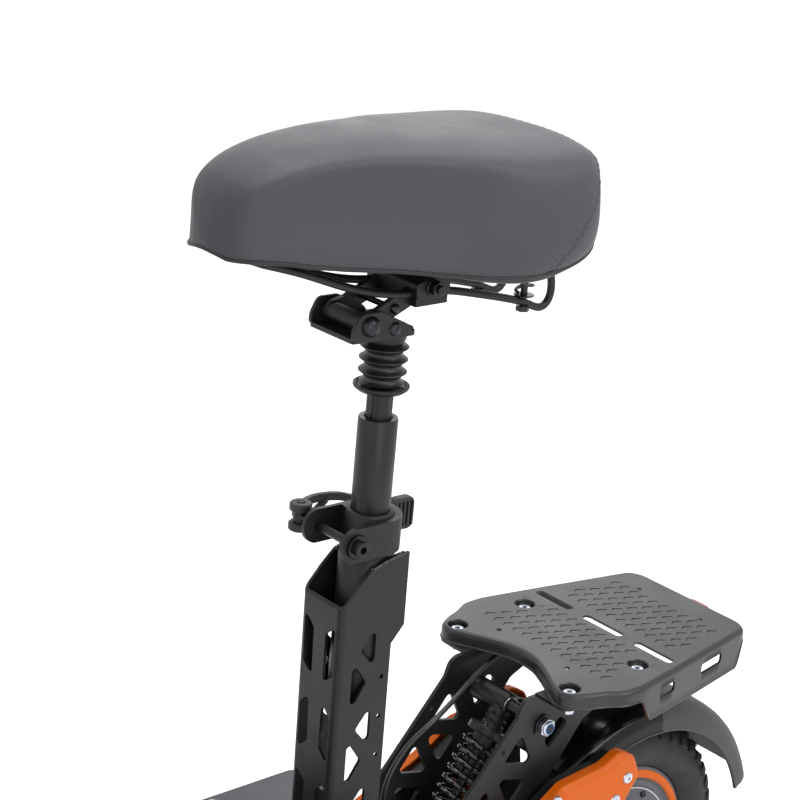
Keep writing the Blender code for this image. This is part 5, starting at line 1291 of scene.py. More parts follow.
# %% Orange covers
cover = [(-107, -119, 13), (-97, -98, 13), (-77, -87, 14), (-56, -97, 16), (-2, -102, 16), (38, -128, 22),
         (125, -166, 10), (168, -178, 18), (162, -212, 16), (40, -232, 30), (-153, -286, 22), (-183, -270, 22),
         (-167, -236, 20), (-98, -200, 20), (-90, -144, 10)]
fine_cover = rounded(cover, 8, 8)
LEVELS = [(72, 0), (80, 0), (81.2, 0.2), (82.3, 0.9), (86, 4.6), (86.7, 5.4), (87, 6.2), (87, 9)]
HOLLOW = [(69, 2.5), (80, 2.5), (84.5, 7.5)]
for side, name in SIDES:
    shell, hollow = (skin([[(x, side * y, z) for x, z in inset(fine_cover, by)] for y, by in levels])
                     for levels in (LEVELS, HOLLOW))
    piece("arm_shell_" + name, drilled(shell, hollow), REAR, orange_abs, "swingarm", "arm_cover_" + name,
          edge=0.4)
screw_spots = []
for x, z in ((-85, -116), (-71, -136), (10, -112), (120, -184), (-130, -262)):
    for side in (-1, 1):
        screw_spots.append(at(x, side * 86.9, z) @ outwards(side))
button = hexagon_screw([(0, 2.6), (3, 2.6), (5.2, 1.8), (6, 0.4), (6, -0.6), (0, -0.6)], 0.9, 2.2)
piece("cover_screws", stamped(button, screw_spots, zinc), REAR, zinc, "swingarm", edge=0.2)

# %% Welded arm
arm_outline = inset([corner[:2] for corner in cover], 6)
window = rounded([(-60, -130), (5, -130), (38, -160), (20, -170), (-20, -205), (-70, -190)], 12, 6)
arms = both_sides(rounded(arm_outline, 6, 5), 59, 71.7, [window, circle(*REAR_AXLE, 6.4)])
foot_x, foot_z = foot_bolt = (SHOCK_FOOT.x, SHOCK_FOOT.z)
around = [math.pi * i / 16 for i in range(1, 16)]
lug = [(10, -203), (94, -200)] + [(foot_x + 12 * math.sin(a), foot_z - 12 * math.cos(a)) for a in around]
lugs = both_sides(lug + [(94, -176), (10, -181)], 19, 25)
bosses = [crossbar(ARM_PIVOT, side * 52.8, side * 61, 14, 56) for side in (-1, 1)]
arm = welded(crossbar((10, -192), -62, 62, 14, 56), *arms, *lugs, *bosses)
arm = drilled(arm, crossbar(foot_bolt, -30, 30, 5, 32), crossbar(ARM_PIVOT, -90, 90, 7.3, 40))
piece("welded_swingarm", arm, REAR, powder_black, "swingarm", "swingarm", edge=0.7)

# %% [markdown]
# ## Rear fender
# The fender is a crowned shell over the tyre, with a ridge along each shoulder and a turned-out edge. Its
# front quarter lies in the rack's shade, and that shade is painted into it as a near-black gloss, while its
# back keeps the fender's sprayed grey; so it is drawn as two mouldings that meet at a seam.

# %% Fender shells
def walled(section, walls):
    """A section of (radius, width) and its inner face, which lies inside it by these walls."""
    return section, [(r - w, y - v) for (r, y), (w, v) in zip(section, walls)]


FENDER = walled([(152, 50.4), (152.3, 51.2), (154.5, 51.4), (156, 50.2), (163, 49.6), (169.5, 47.4),
                 (174.5, 43.8), (178.4, 38.6), (180.6, 32.5), (181.6, 25), (182, 14), (182, 0)],
                [(0, 2.2), (0, 2.4), (0, 2.6), (0, 2.4), (0.5, 2.3), (1.2, 2), (1.8, 1.7), (2.1, 1.4), (2.3, 1),
                 (2.4, 0.5), (2.5, 0.2), (2.5, 0)])


def fender_shell(first, last, grow=0.0, steps=60, sections=FENDER, middle=REAR_AXLE):
    """A shell from one angle to another about the wheel's middle, each given from the front upwards."""
    outer = [(r + grow, y) for r, y in sections[0]]
    outer += [(r, -y) for r, y in reversed(outer[:-1])]
    within = sections[1] + [(r, -y) for r, y in reversed(sections[1][:-1])]
    rings = []
    for i in range(steps + 1):
        a = math.radians(first + (last - first) * i / steps)
        rings.append([(middle[0] + r * math.cos(a), y, middle[1] + r * math.sin(a))
                      for r, y in outer + within[::-1]])
    return skin(rings)


def fender_stays(x, z, long, high, inner, outer):
    """Two blocks that join a fender to what carries it."""
    return [block((x - long / 2, min(side * inner, side * outer), z - high / 2),
                  (x + long / 2, max(side * inner, side * outer), z + high / 2)) for side in (-1, 1)]


# The front quarter carries the painted shade, a near-black gloss; the back keeps the fender's grey.
front = welded(fender_shell(51, 96, steps=30), *fender_stays(-80.2, -125, 16, 22, 47.8, 58.7))
piece("fender_front", front, REAR, fender_black_painted_shade, "swingarm", "rear_fender", edge=0.6)
piece("fender_back", fender_shell(95.6, 162, 0.35), REAR, fender_grey, "swingarm", edge=0.5)

# %% [markdown]
# ## Rear wheel
# The hub motor, its rim and the tyre are all turned about the axle. The rim's flange carries the orange
# ring. Tread blocks stand round the tyre's shoulders and crown; one of each is drawn, and the tree sets
# them round the wheel.

# %% Tyre
BEAD, CROWN, BLOCKS, PHASE = 99, 148.2, 44, 0.07


def wheel_pieces(prefix, frame_of_work, centre, body):
    """The tyre's casing and its blocks."""
    half = [(BEAD + r, y) for r, y in ((0, 18.4), (2.2, 20.6), (6, 24.2), (11, 27.4), (17, 29.2), (24, 29.6),
                                       (31, 28.0), (37, 25.2), (42, 21), (46.2, 14.5), (48.4, 7))]
    section = half + [(CROWN, 0)] + [(r, -y) for r, y in reversed(half)]
    piece(prefix + "_tyre_casing", lathe(section, centre, "Y", 180, closed=True), frame_of_work, tyre_rubber,
          body, prefix + "_tyre", edge=0, sharp=60)
    crown, shoulder = [], []
    twist = Matrix.Rotation(math.radians(24), 4, "Z")
    for side in (1, -1):
        lean = Matrix.Rotation(math.radians(90 - side * 8), 4, "Y")
        for place in around_axis(BLOCKS, 147.6, centre, side * 7.5, PHASE if side > 0 else 0.0):
            crown.append(place @ lean @ twist)
    for side in (-1, 1):
        for place in around_axis(BLOCKS, 137.5, centre, side * 24.4, PHASE if side > 0 else 0.0):
            shoulder.append(place @ Matrix.Rotation(math.radians(side * 52), 4, "Z"))
    shape = sheet_metal("xy", [(-5.5, -4), (-1, -5.8), (5, -4.4), (6, 3.8), (0.5, 5.6), (-6, 4.2)], -2.2, 1.5,
                        edge=0.4)
    piece(prefix + "_crown_blocks", stamped(shape, crown, tyre_rubber), frame_of_work, tyre_rubber, body,
          edge=0)
    lug = block((-1.6, -5.0, -6.2), (1.6, 6.4, 6.2))
    step = lug.modifiers.new("edges", "BEVEL")
    step.width, step.segments = 0.8, 2
    lugs = stamped(on_bench(evaluated(lug)), shoulder, tyre_rubber)
    piece(prefix + "_shoulder_blocks", lugs, frame_of_work, tyre_rubber, body, edge=0)


REAR_MIDDLE = (REAR_AXLE[0], 0, REAR_AXLE[1])
wheel_pieces("rear", REAR, REAR_MIDDLE, "rear_wheel")

# %% Hub, rim ring and disc
hub_finish = grained("hub_cover_satin_grey", "#55565a", "#606166", (0.4, 0.5), 30, 0.8, 0.15)


def hub_pieces(prefix, frame_of_work, centre, body):
    """The hub motor with its rim, the orange ring, the bright ring and the cover's screws."""
    def rings(profile):
        return merged([lathe([(r, side * h) for r, h in profile], centre, "Y", 120, closed=True)
                       for side in (-1, 1)])

    half = [(6.6, 40), (9, 40), (10, 39.2), (22, 39.2), (23, 38.2), (23, 29.6), (24.2, 28.2), (40, 25.2),
            (66, 19.2), (70, 18.6), (73, 19.4), (76.4, 19.4), (77.6, 18.4), (80, 17.4), (83, 17.2),
            (85.6, 18.6), (87, 20), (94.6, 20.4), (98.4, 18.8)]
    profile = half + [(98.6, 18.2), (98.6, -18.2)] + [(r, -h) for r, h in reversed(half)]
    piece(prefix + "_motor_hub", lathe(profile, centre, "Y", 120, closed=True), frame_of_work, hub_finish, body,
          prefix + "_hub", edge=0, sharp=32)
    flange = [(86.4, 20.2), (87.4, 21.6), (89, 22.1), (93, 21.9), (95.2, 20.9), (95.6, 20.0)]
    piece(prefix + "_rim_ring", rings(flange), frame_of_work, orange_abs, body, edge=0, sharp=40)
    piece(prefix + "_cover_rim", rings([(74.2, 19.2), (74.8, 20.2), (76.4, 20.4), (77.2, 19.4)]), frame_of_work,
          machined, body, edge=0, sharp=40)
    cap = hexagon_screw([(0, 2.4), (2.6, 2.4), (3.4, 1.6), (3.4, -1), (0, -1)], 0.6, 1.6, steps=32)
    spots = [place @ outwards(side) for side in (-1, 1)
             for place in around_axis(9, 69.5, centre, side * 19.0)]
    piece(prefix + "_cover_screws", stamped(cap, spots, oxide), frame_of_work, oxide, body, edge=0)


hub_pieces("rear", REAR, REAR_MIDDLE, "rear_wheel")

disc = lathe([(60, 36.9), (59.6, 37), (26, 37), (24.6, 36.8), (24.6, 35.2), (26, 35), (59.6, 35), (60, 35.1)],
             REAR_MIDDLE, "Y", 120, closed=True)
spots = [at(0, 36, 0) @ place for r, turn in ((53, 0.0), (46.5, 0.13))
         for place in around_axis(24, r, REAR_MIDDLE, 0, turn)]
disc = boolean(disc, stamped(rod((0, -5, 0), (0, 5, 0), 2.4, 20), spots, zinc), "DIFFERENCE")
vents = []
for k in range(6):
    t = 2 * math.pi * k / 6
    corners = ((30, t - 0.25), (40, t - 0.32), (40.5, t), (40, t + 0.32), (30, t + 0.25))
    vent = [(REAR_AXLE[0] + r * math.cos(a), REAR_AXLE[1] + r * math.sin(a)) for r, a in corners]
    vents.append(sheet_metal("xz", rounded(vent, 2), 30, 42))
piece("perforated_disc", drilled(disc, *vents), REAR, zinc, "rear_wheel", "brake_disc", edge=0, sharp=35)

# %% [markdown]
# Axle nuts, the pivot bolt and the brake caliper finish the back of the frame.

# %% Axle, pivot and caliper
axle = crossbar(REAR_AXLE, -80, 80, 6, 40)
bolt = crossbar(ARM_PIVOT, -79, 79, 7)
for side in (-1, 1):
    axle = welded(axle, crossbar(REAR_AXLE, side * 40.4, side * 58.6, 11),
                  crossbar(REAR_AXLE, side * 72.1, side * 73.6, 11),
                  crossbar(REAR_AXLE, side * 73.5, side * 79, 9.6, 6))
    bolt = welded(bolt, crossbar(ARM_PIVOT, side * 72.2, side * 78.8, 10.9, 6))
piece("rear_axle_shaft", axle, REAR, zinc, "swingarm", "rear_axle", edge=0.6)
piece("swingarm_pivot_bolt", bolt, REAR, oxide, "frame", "pivot_bolt", edge=0.8)
caliper = drilled(block((-112, 31.5, -265), (-80, 58.7, -231)), crossbar(REAR_AXLE, 33.8, 38.2, 62, 90))
piece("caliper_body", caliper, REAR, anodised, "swingarm", "brake_caliper", edge=2.2)
caps = [crossbar((-96, z), 58.4, 60.2, 6.5) for z in (-256, -240)]
piece("caliper_pistons", merged(caps), REAR, oxide, "swingarm", edge=0.5)

# %% [markdown]
# The motor's cable leaves the frame under the rack, runs down behind the shock and into the deck. A nylon tie
# holds it to the column.

# %% Cable and tie
CABLE_RADIUS = 2.6
route = [(-36, -41, -21), (-12, -38, -24), (22, -28, -31), (56, -12, -34), (94, 0, -43), (123, 0, -60),
         (143, 0, -85), (149, 0, -112), (150, 0, -136), (156, 0, -153), (169.4, 0, -156)]
cable = tube(smooth_path(route, 8), CABLE_RADIUS)
piece("motor_cable_sheath", cable, REAR, cable_sheath, "frame", "motor_cable", edge=0.3)
tie = lathe([(2.7, 2.2), (3.7, 2.2), (3.7, -2.2), (2.7, -2.2)], steps=32, closed=True)
tie = moved(welded(tie, block((2.6, -2.6, -2.4), (7.4, 2.6, 2.4))), at(149.3, 0, -116))
piece("cable_tie", tie, REAR, nylon_black, "frame", edge=0.3)

# %% [markdown]
# ## Front wheel and fork
# The front wheel is the rear one's twin, so the same two functions draw it, now in the steering frame. The
# fork is telescopic: chromed stanchions hang from a forged crown and slide in alloy legs with a rubber wiper
# on top.

# %% Front wheel
wheel_pieces("front", FRONT, (0, 0, 0), "front_wheel")
hub_pieces("front", FRONT, (0, 0, 0), "front_wheel")

# %% Fork
crown = [(-19, -78, 17), (19, -78, 17), (22, -30, 20), (22, 30, 20), (19, 78, 17), (-19, 78, 17), (-22, 30, 20),
         (-22, -30, 20)]
crown = welded(sheet_metal("xy", rounded(crown, 17, 8), 205, 235), rod((0, 0, 210), (0, 0, 378), 14.6, 64))
piece("forged_crown", crown, FRONT, powder_deep, "steering", "fork_crown", edge=1.6)
chrome = [rod((0, side * LEG_Y, 60), (0, side * LEG_Y, 205.5), 12, 72) for side in (-1, 1)]
piece("chromed_stanchions", merged(chrome), FRONT, chrome_plate, "steering", edge=0.4)
cap = [(0, 238.4), (7, 238.4), (9.4, 237.2), (9.8, 234.6), (0, 234.6)]
caps = [drilled(lathe(cap, (0, y, 0), steps=48), rod((0, y, 236), (0, y, 240), 4, 6)) for y in (-LEG_Y, LEG_Y)]
piece("stanchion_caps", merged(caps), FRONT, oxide, "steering", edge=0.3)

leg_profile = [(0, -20), (12, -20), (14.6, -18.4), (16.6, -14), (17, -9), (17, 14), (15.6, 24), (15.4, 134),
               (16.8, 142), (17, 152), (17, 163.6), (16.2, 164.6), (12.4, 164.6), (12.4, 20), (0, 20)]
for side, name in SIDES:
    leg = lathe(leg_profile, (0, side * LEG_Y, 0), steps=80)
    leg = drilled(leg, crossbar((0, 0), side * 40, side * 84, 6.2, 40))
    piece("fork_leg_" + name, leg, FRONT, anodised, "fork_slide", "fork_slider_" + name, edge=0, sharp=40)
wiper = [(12.2, 164), (16.9, 164), (17.4, 164.8), (17.2, 166.8), (15.4, 168.4), (13.2, 169), (12.2, 169)]
wipers = [lathe(wiper, (0, side * LEG_Y, 0), closed=True) for side in (-1, 1)]
piece("leg_wipers", merged(wipers), FRONT, boot_rubber, "fork_slide", edge=0, sharp=50)

axle = crossbar((0, 0), -90, 90, 6, 40)
for side in (-1, 1):
    axle = welded(axle, crossbar((0, 0), side * 40.4, side * 44.7, 11),
                  crossbar((0, 0), side * 79.1, side * 80.6, 12),
                  crossbar((0, 0), side * 80.5, side * 86, 9.8, 6))
piece("front_axle_shaft", axle, FRONT, zinc, "fork_slide", "front_axle", edge=0.6)

# %% [markdown]
# The front fender is one grey moulding. It is drawn by the same function as the rear one, with a narrower
# section, and two stays join it to the fork's legs.

# %% Front fender
NARROW = walled([(153, 36.4), (153.4, 37.2), (155.2, 37.2), (156.4, 35.8), (160.4, 34.6), (163.6, 31.6),
                 (165.4, 26), (166.4, 18), (167, 9), (167, 0)],
                [(0, 2.2), (0, 2.3), (0.2, 2.4), (0.4, 2.3), (1, 1.9), (1.5, 1.5), (1.8, 1), (1.9, 0.5),
                 (2, 0.2), (2, 0)])
shell = welded(fender_shell(48, 148, sections=NARROW, middle=(0, 0)), *fender_stays(0, 153, 16, 14, 33.6, 45.4))
piece("front_fender_shell", shell, FRONT, fender_grey, "fork_slide", "front_fender", edge=0.5)

# %% [markdown]
# ## Neck and head
# A curved tube rises from a shoe on the deck's front wall to the head tube. The head tube belongs to the
# steering frame, so its mesh is moved from there to the bench of the rear frame before it is welded on.

# %% Neck
neck_path = smooth_path([(605, 0, -178), (619, 0, -150), (639.9, 0, -100), (676.6, 0, -45), (722.1, 0, 0.5),
                         (761.7, 0, 26.6)], 8)
beam = drilled(tube(neck_path, 23, 12), block((540, -80, -260), (615.3, 80, -60)))
head_tube = [(0, 240), (25, 240), (26, 241), (26, 247), (24.8, 249), (24.8, 341), (26, 343), (26, 349),
             (25, 350), (0, 350)]
shoe = sheet_metal("yz", rounded([(-50, -217), (50, -217), (50, -140), (-50, -140)], 10), 615.3, 624)
neck = welded(moved(lathe(head_tube), TO_REAR), beam, shoe)
neck = drilled(neck, moved(rod((0, 0, 230), (0, 0, 360), 15.4, 56), TO_REAR))
piece("welded_neck", neck, REAR, powder_black, "frame", "neck_frame", edge=0.7, sharp=42)
button = hexagon_screw([(0, 2.9), (3.2, 2.9), (5.6, 2.1), (6.6, 0.4), (6.6, -0.6), (0, -0.6)], 1.1, 2.4)
FORWARD = Matrix.Rotation(math.pi / 2, 4, "Y")
places = [at(624, y, z) @ FORWARD for y in (-38, 38) for z in (-205, -152)]
piece("shoe_screws", stamped(button, places, zinc), REAR, zinc, "frame", edge=0.2)

race = lathe([(15.2, 235.3), (24.2, 235.3), (25, 236.1), (25, 237), (24.3, 237.3), (24.3, 237.7), (25, 238),
              (25, 238.9), (24.2, 239.7), (15.2, 239.7)], closed=True, steps=96)
piece("headset_race", race, FRONT, machined, "frame", "headset_lower", edge=0, sharp=40)

# %% [markdown]
# The headlight is a cup of black plastic with a bright bowl behind a clear, domed lens. Its cooling fins are
# one thin ring that the stamping tree sets along the cup.

# %% Headlight
lamp_at = (0, 0, 300)
lamp_cup = [(0, 26.6), (14, 27), (20, 28.6), (24, 31.6), (24.2, 47), (25, 48), (25, 59.4), (24.2, 61.4),
            (22.6, 62), (21.6, 61.2), (21.2, 57), (12, 50), (0, 48)]
piece("headlight_cup", lathe(lamp_cup, lamp_at, "X", 96), FRONT, polypropylene, "frame", "headlight", edge=0,
      sharp=40)
fin = lathe([(23.4, -0.9), (25, -0.7), (25, 0.7), (23.4, 0.9)], axis="X", steps=72, closed=True)
fins = [at(x, 0, lamp_at[2]) for x in (34.5, 38, 41.5, 45)]
piece("headlight_fins", stamped(fin, fins, polypropylene), FRONT, polypropylene, "frame", edge=0, sharp=40)
bowl = [(0, 51.6), (4, 51.8), (10, 53.4), (17, 56.4), (20.9, 60), (21.1, 58.6), (17.4, 55), (10, 51.4),
        (0, 49.4)]
piece("headlight_bowl", lathe(bowl, lamp_at, "X", 72), FRONT, chrome_plate, "frame", edge=0, sharp=50)
lens = [(0, 63), (9, 62.5), (16, 61.4), (21, 60.2), (21, 58.9), (16, 60), (9, 61.1), (0, 61.6)]
piece("headlight_lens", lathe(lens, lamp_at, "X", 72), FRONT, clear_lens, "frame", edge=0, sharp=50)

# %% [markdown]
# ## Folding stem
# The stem folds forward about a hinge in front. Two square collars meet at the joint, and an orange latch
# behind keeps them shut. The ears of both collars are plates on the same pin.

# %% Stem base
square = rounded([(-26, -24, 8), (24, -24, 8), (24, 24, 8), (-26, 24, 8)], 8, 8)
hinge_ear = [(18, 406, 1), (37, 421, 3), (43, 430, 8), (34, 439, 8), (25.5, 430, 2), (18, 427, 1)]
latch_ear = [(-22, 406, 1), (-36, 406, 5), (-41, 414, 6), (-36, 422, 5), (-22, 424, 1)]
socket = lathe([(0, 350.4), (21, 350.4), (22, 351.4), (22, 396), (24, 404.6), (24, 408), (0, 408)], steps=80)
base = welded(socket, sheet_metal("xy", square, 404, 430), *both_sides(rounded(hinge_ear, 3), 12, 23),
              *both_sides(rounded(latch_ear, 3), 11.5, 17))
base = drilled(base, crossbar(LATCH_PIN, -30, 30, 3.2, 32), crossbar(STEM_HINGE, -30, 30, 4.2, 32))
piece("stem_base_collar", base, FRONT, powder_deep, "steering", "stem_base", edge=0.8)
pinch = hexagon_screw([(0, 4.4), (3.4, 4.4), (4.2, 3.6), (4.2, 0), (0, 0)], 1.4, 2, 6, 32)
places = [at(0, side * 21.6, z) @ outwards(side)
          for z in (362, 384) for side in (-1, 1)]
piece("stem_pinch_screws", stamped(pinch, places, oxide), FRONT, oxide, "steering", edge=0.2)

# %% Stem tube
taper = lathe([(0, 450), (23.6, 450), (22.6, 456), (19, 466), (19, 976), (18, 980), (0, 980)], steps=80)
web = sheet_metal("xz", rounded([(18, 431, 0), (34, 431, 0), (41, 434, 3), (20, 452, 0)], 3), -11.5, 11.5)
tee = lathe([(0, 28), (16, 28), (17, 27), (17, -27), (16, -28), (0, -28)], (0, 0, BAR_Z), "Y", 80)
tee = drilled(drilled(tee, crossbar((0, BAR_Z), -30, 30, 11.2, 56)), block((-0.8, -30, 1008), (0.8, 30, 1020)))
stem = [sheet_metal("xy", square, 430.4, 452), taper, crossbar(STEM_HINGE, -11.7, 11.7, 8.5), web, tee,
        rod((0, 0, 960), (0, 0, 986), 17.4, 64)]
piece("stem_tube_and_tee", merged(stem), FRONT, powder_deep, "stem", "stem_tube", edge=0.7)
heads = [crossbar(STEM_HINGE, side * 23.3, side * 25.6, 6.4, 40) for side in (-1, 1)]
piece("hinge_pin", welded(crossbar(STEM_HINGE, -24.4, 24.4, 4, 40), *heads), FRONT, zinc, "stem", edge=0.6)
screw = hexagon_screw([(0, 4.6), (3.6, 4.6), (4.4, 3.8), (4.4, 0), (0, 0)], 1.6, 2.1, 6, 32)
places = [at(15.8, y, BAR_Z) @ FORWARD for y in (-20, 20)]
piece("tee_screws", stamped(screw, places, oxide), FRONT, oxide, "stem", edge=0.2)

# %% Latch
latch = rounded([(-38, 408, 3), (-30, 410, 3), (-29, 426, 3), (-28, 485, 3), (-36, 496, 4), (-40, 470, 10),
                 (-37, 430, 6)], 3)
latch = sheet_metal("xz", latch, -10.5, 10.5, edge=1.4)
piece("latch_lever", latch, FRONT, orange_abs, "stem_latch", "stem_latch", edge=0.4)
piece("latch_pin", crossbar(LATCH_PIN, -17.8, 17.8, 3, 40), FRONT, zinc, "stem_latch", edge=0.8)
bar = block((-0.9, -7.6, -0.8), (0.9, 7.6, 0.8))
places = [Matrix.Translation((-39.4 - 0.3 * math.sin(i), 0, 452 + 5 * i)) for i in range(6)]
piece("latch_ribs", stamped(bar, places, orange_abs), FRONT, orange_abs, "stem_latch", edge=0.4)

# %% [markdown]
# ## Handlebar
# A straight tube carries two ribbed grips, two levers, a thumb throttle and the display. The grip's ribs are
# one long rib set round the bar by the stamping tree.

# %% Bar and grips
PERCH_X = 32
ring = [(11.05, 9), (14.6, 9), (15.5, 8.1), (15.5, -8.1), (14.6, -9), (11.05, -9)]
perches, pivots = [], []
for y in (-PERCH_Y, PERCH_Y):
    perches.append(lathe(ring, (0, y, BAR_Z), "Y", 64, closed=True))
    perch = rounded([(8, y - 8, 0), (30, y - 8, 6), (41, y - 5, 5), (41, y + 5, 5), (30, y + 8, 6),
                     (8, y + 8, 0)], 4)
    perches += [sheet_metal("xy", perch, BAR_Z + low, BAR_Z + high) for low, high in ((-9, -4.5), (4.5, 9))]
    pivots.append(rod((PERCH_X, y, 990), (PERCH_X, y, 1010.4), 2.6, 32))
    pivots.append(lathe([(0, 1011.8), (3.4, 1011.4), (4.6, 1010.2), (4.6, 1009), (0, 1009)], (PERCH_X, y, 0),
                        steps=40))
bar = welded(crossbar((0, BAR_Z), -285, 285, 11, 72), *perches)
piece("handlebar_and_perches", bar, FRONT, powder_deep, "stem", "handlebar", edge=0.5)
piece("lever_pivots", merged(pivots), FRONT, zinc, "stem", edge=0.3)

sleeve = [(11.1, 167), (17.4, 167), (18, 168), (18, 171), (17.2, 172.4), (15, 173.6), (14.8, 284), (16.4, 286),
          (16.8, 289), (16, 290.6), (12, 291.2), (0, 291.4), (0, 286), (11.1, 286)]
for side, name in SIDES:
    grip = lathe([(r, side * h) for r, h in sleeve], (0, 0, BAR_Z), "Y", 80, closed=True)
    piece("grip_sleeve_" + name, grip, FRONT, grip_rubber, "stem", "grip_" + name, edge=0, sharp=45)
    rib = block((-1.0, -23, -1.1), (1.0, 23, 1.1))
    places = [place for y in (200.5, 256.5) for place in around_axis(20, 15.2, (0, 0, BAR_Z), side * y)]
    piece("grip_ribs_" + name, stamped(rib, places, grip_rubber), FRONT, grip_rubber, "stem", edge=0.6)

# %% [markdown]
# A brake lever is forged flat and ends in a ball, so that a finger can't slip past its tip. Its section is an
# oval that thins out along a smooth path.

# %% Levers, throttle and display
SPINE = [(33, 2), (42, 14), (48, 30), (52, 60), (53.4, 90), (54, 110)]
for side, name in SIDES:
    y = side * PERCH_Y
    spine = smooth_path([(x, y + side * out, BAR_Z) for x, out in SPINE], 8)
    rings = []
    for i, spot in enumerate(spine):
        along = (spine[min(i + 1, len(spine) - 1)] - spine[max(i - 1, 0)]).normalized()
        sideways = along.cross(Vector((0, 0, 1))).normalized()
        share = i / (len(spine) - 1)
        tall, thick = 4.1 + 1.6 * math.sin(math.pi * share) ** 2, 4.2 - 1.0 * share
        rings.append([spot + sideways * thick * math.cos(a) + Vector((0, 0, tall * math.sin(a)))
                      for a in [2 * math.pi * k / 24 for k in range(24)]])
    tip = ball(32, 16, 6, at(54, y + side * 112, BAR_Z))
    lever = welded(rod((PERCH_X, y, 995.8), (PERCH_X, y, 1004.2), 7), skin(rings), tip)
    lever = drilled(lever, rod((PERCH_X, y, 990), (PERCH_X, y, 1010), 2.7, 32))
    piece("forged_lever_" + name, lever, FRONT, anodised, "brake_lever_" + name, "brake_lever_" + name,
          edge=0.4)

ring = lathe([(11.2, 5), (14.4, 5), (15, 4.4), (15, -4.4), (14.4, -5), (11.2, -5)], (0, -160.7, BAR_Z), "Y", 72,
             closed=True)
paddle = rounded([(-35, 986.4, 3), (-24, 985.6, 3), (-10, 990, 1), (-12, 996, 1), (-22, 994.6, 3),
                  (-34, 992.6, 3)], 3)
throttle = welded(ring, sheet_metal("xz", paddle, -164.9, -156.5, edge=1))
piece("thumb_throttle", throttle, FRONT, nylon_black, "throttle", "throttle", edge=0.6)


def screen(low_x, high_x, half, small, large, low, high, edge=0.0):
    """A plate with small corners behind and large ones in front."""
    corners = [(low_x, -half, small), (high_x, -half, large), (high_x, half, large), (low_x, half, small)]
    return sheet_metal("xy", rounded(corners, small, 8), low, high, edge=edge)


case = drilled(screen(-22, 26, 38, 9, 14, 1017.4, 1031.4), screen(-17, 21, 33, 6, 10, 1030, 1040))
piece("display_case", case, FRONT, polypropylene, "stem", "display", edge=1.2)
glass = screen(-16.8, 20.8, 32.8, 6, 10, 1029.6, 1031.8, edge=0.4)
piece("display_glass", glass, FRONT, dark_glass, "stem", edge=0)

# %% [markdown]
# ## Deck
# The tub is a folded tray with a rolled lower edge. The board on it is one plate with a rubbery grit mat, held
# by a row of button screws along each side, and the centre stand is one bent tube in two lugs below.

# %% Deck tub and board
def deck_skin(levels):
    return skin([[(x, y, z) for x, y in inset(tub_plan, by)] for z, by in levels])


tub_plan = rounded([(170, -112, 5), (615, -112, 12), (615, 112, 12), (170, 112, 5)], 8, 8)
outside = [(-225, 4.5), (-224.6, 2.6), (-223.6, 1.2), (-222.2, 0.3), (-220.5, 0), (-134, 0)]
hollow = [(-222, 5), (-219, 3), (-120, 3)]
lug = [(219, -222, 0), (245, -222, 0), (242, -240, 6), (238, -247, 6), (226, -247, 6), (222, -240, 6)]
tub = welded(drilled(deck_skin(outside), deck_skin(hollow)), *both_sides(rounded(lug, 4), 65, 75))
tub = drilled(tub, crossbar(STAND_PIVOT, -90, -60, 7.3, 40), crossbar(STAND_PIVOT, 60, 90, 7.3, 40))
piece("deck_tray", tub, REAR, deck_coat, "frame", "deck_tub", edge=0.5)
board = rounded([(155, -120, 14), (615, -120, 40), (615, 120, 40), (155, 120, 14)], 14, 10)
board = sheet_metal("xy", board, -133.7, -130, edge=1.0)
piece("deck_board", board, REAR, deck_coat, "frame", "footboard", edge=0, sharp=40)
mat = rounded([(262, -98, 12), (600, -98, 34), (600, 98, 34), (262, 98, 12)], 12, 10)
mat = sheet_metal("xy", mat, -130.3, -128.4, edge=0.6)
piece("deck_grit_mat", mat, REAR, grit_mat, "frame", edge=0, sharp=40)
places = [at(x, side * 109, -130) for x in (262, 350, 438, 526) for side in (-1, 1)]
button = hexagon_screw([(0, 2.2), (2.8, 2.2), (4.6, 1.5), (5.4, 0.3), (5.4, -0.6), (0, -0.6)], 0.8, 1.9,
                       steps=32)
piece("board_screws", stamped(button, places, zinc), REAR, zinc, "frame", edge=0.2)

# %% Centre stand
half_stand = [(178, 101, -403.5), (190, 101, -365.6), (206, 101, -315.1), (220, 101, -271), (226, 101, -252),
              (229.6, 99.6, -241.5), (231.6, 95, -236.6), (232, 88, -236), (232, 60, -236), (232, 30, -236)]
stand_path = half_stand + [(232, 0, -236)] + [(x, -y, z) for x, y, z in reversed(half_stand)]
stand_feet = [block((164, side * 101 - 9, -407), (194, side * 101 + 9, -398)) for side in (-1, 1)]
stand = welded(tube(smooth_path(stand_path, 5), 7, 8), *stand_feet)
piece("bent_stand", stand, REAR, powder_black, "centre_stand", "centre_stand", edge=1.0)
pads = [block((163, side * 101 - 10, -412), (195, side * 101 + 10, -405)) for side in (-1, 1)]
piece("stand_pads", merged(pads), REAR, boot_rubber, "centre_stand", edge=1.6)
print("pieces in all:", len(face_counts), "with", sum(face_counts), "faces")

# %% [markdown]
# A product photograph has a white sweep and large soft lamps. The floor shows white to the camera through
# a little light of its own, and still darkens under the scooter. The world does the same: it is white to
# the camera, in reflections and through clear plastic, but lights the scooter at a plain level.

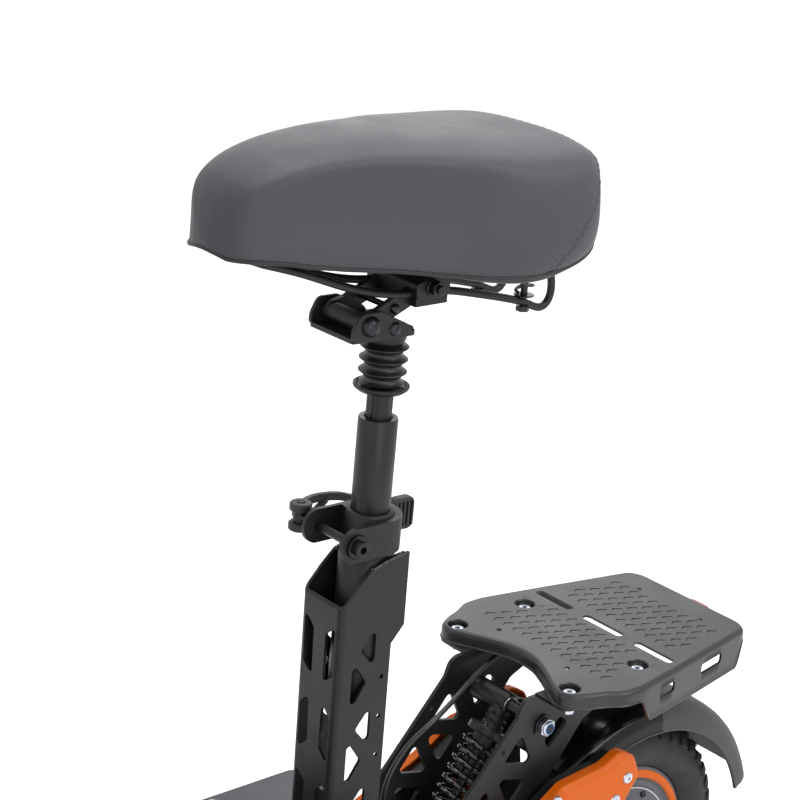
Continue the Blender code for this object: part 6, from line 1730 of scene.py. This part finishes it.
# %% Floor, world and lamps
def white_to_the_eye(tree):
    """One where the camera, a reflection or a clear piece looks, and nought for plain lighting."""
    path = add(tree, "ShaderNodeLightPath")
    either = add(tree, "ShaderNodeMath", {0: path.outputs["Is Camera Ray"], 1: path.outputs["Is Glossy Ray"]},
                 operation="MAXIMUM")
    return add(tree, "ShaderNodeMath", {0: either.outputs[0], 1: path.outputs["Is Transmission Ray"]},
               operation="MAXIMUM").outputs[0]


sweep, tree, shader = surface("white_sweep", Roughness=0.9)
shader.inputs["Base Color"].default_value = linear("#d8d8da")
shader.inputs["Specular IOR Level"].default_value = 0.0
shader.inputs["Emission Color"].default_value = (1, 1, 1, 1)
glow = add(tree, "ShaderNodeMath", {0: white_to_the_eye(tree), 1: 0.78}, operation="MULTIPLY")
tree.links.new(glow.outputs[0], shader.inputs["Emission Strength"])
ground = bpy.data.meshes.new("studio_floor")
ground.from_pydata([(-9, -9, 0), (9, -9, 0), (9, 9, 0), (-9, 9, 0)], [], [(0, 1, 2, 3)])
floor = bpy.data.objects.new("studio_floor", ground)
floor.data.materials.append(sweep)
bpy.context.collection.objects.link(floor)

world = bpy.data.worlds.new("studio")
world.use_nodes = True
bpy.context.scene.world = world
tree = world.node_tree
sky = tree.nodes["Background"]
sky.inputs["Color"].default_value = (1, 1, 1, 1)
level_of_light = add(tree, "ShaderNodeMapRange", {
    "Value": white_to_the_eye(tree), "To Min": 0.37, "To Max": 1.0})
tree.links.new(level_of_light.outputs[0], sky.inputs["Strength"])


def softbox(name, place, target, size, watts):
    lamp = bpy.data.lights.new(name, "AREA")
    lamp.shape = "RECTANGLE"
    lamp.size, lamp.size_y = size
    lamp.energy = watts
    made = bpy.data.objects.new(name, lamp)
    made.location = place
    made.rotation_euler = (Vector(target) - Vector(place)).to_track_quat("-Z", "Y").to_euler()
    bpy.context.collection.objects.link(made)


softbox("key_lamp", (-1.2, 2.0, 2.6), (-0.2, 0, 0.6), (1.6, 1.2), 36)
softbox("fill_lamp", (0.9, 2.8, 1.2), (-0.1, 0, 0.6), (1.2, 1.2), 16)
softbox("front_lamp", (2.6, 0.2, 1.4), (0.2, 0, 0.6), (1.4, 1.4), 8)
softbox("top_lamp", (-0.4, -0.6, 3.0), (-0.2, 0, 0.6), (1.6, 1.6), 32)
softbox("back_lamp", (-2.3, -2.4, 1.9), (-0.2, 0, 0.6), (1.6, 1.2), 10)
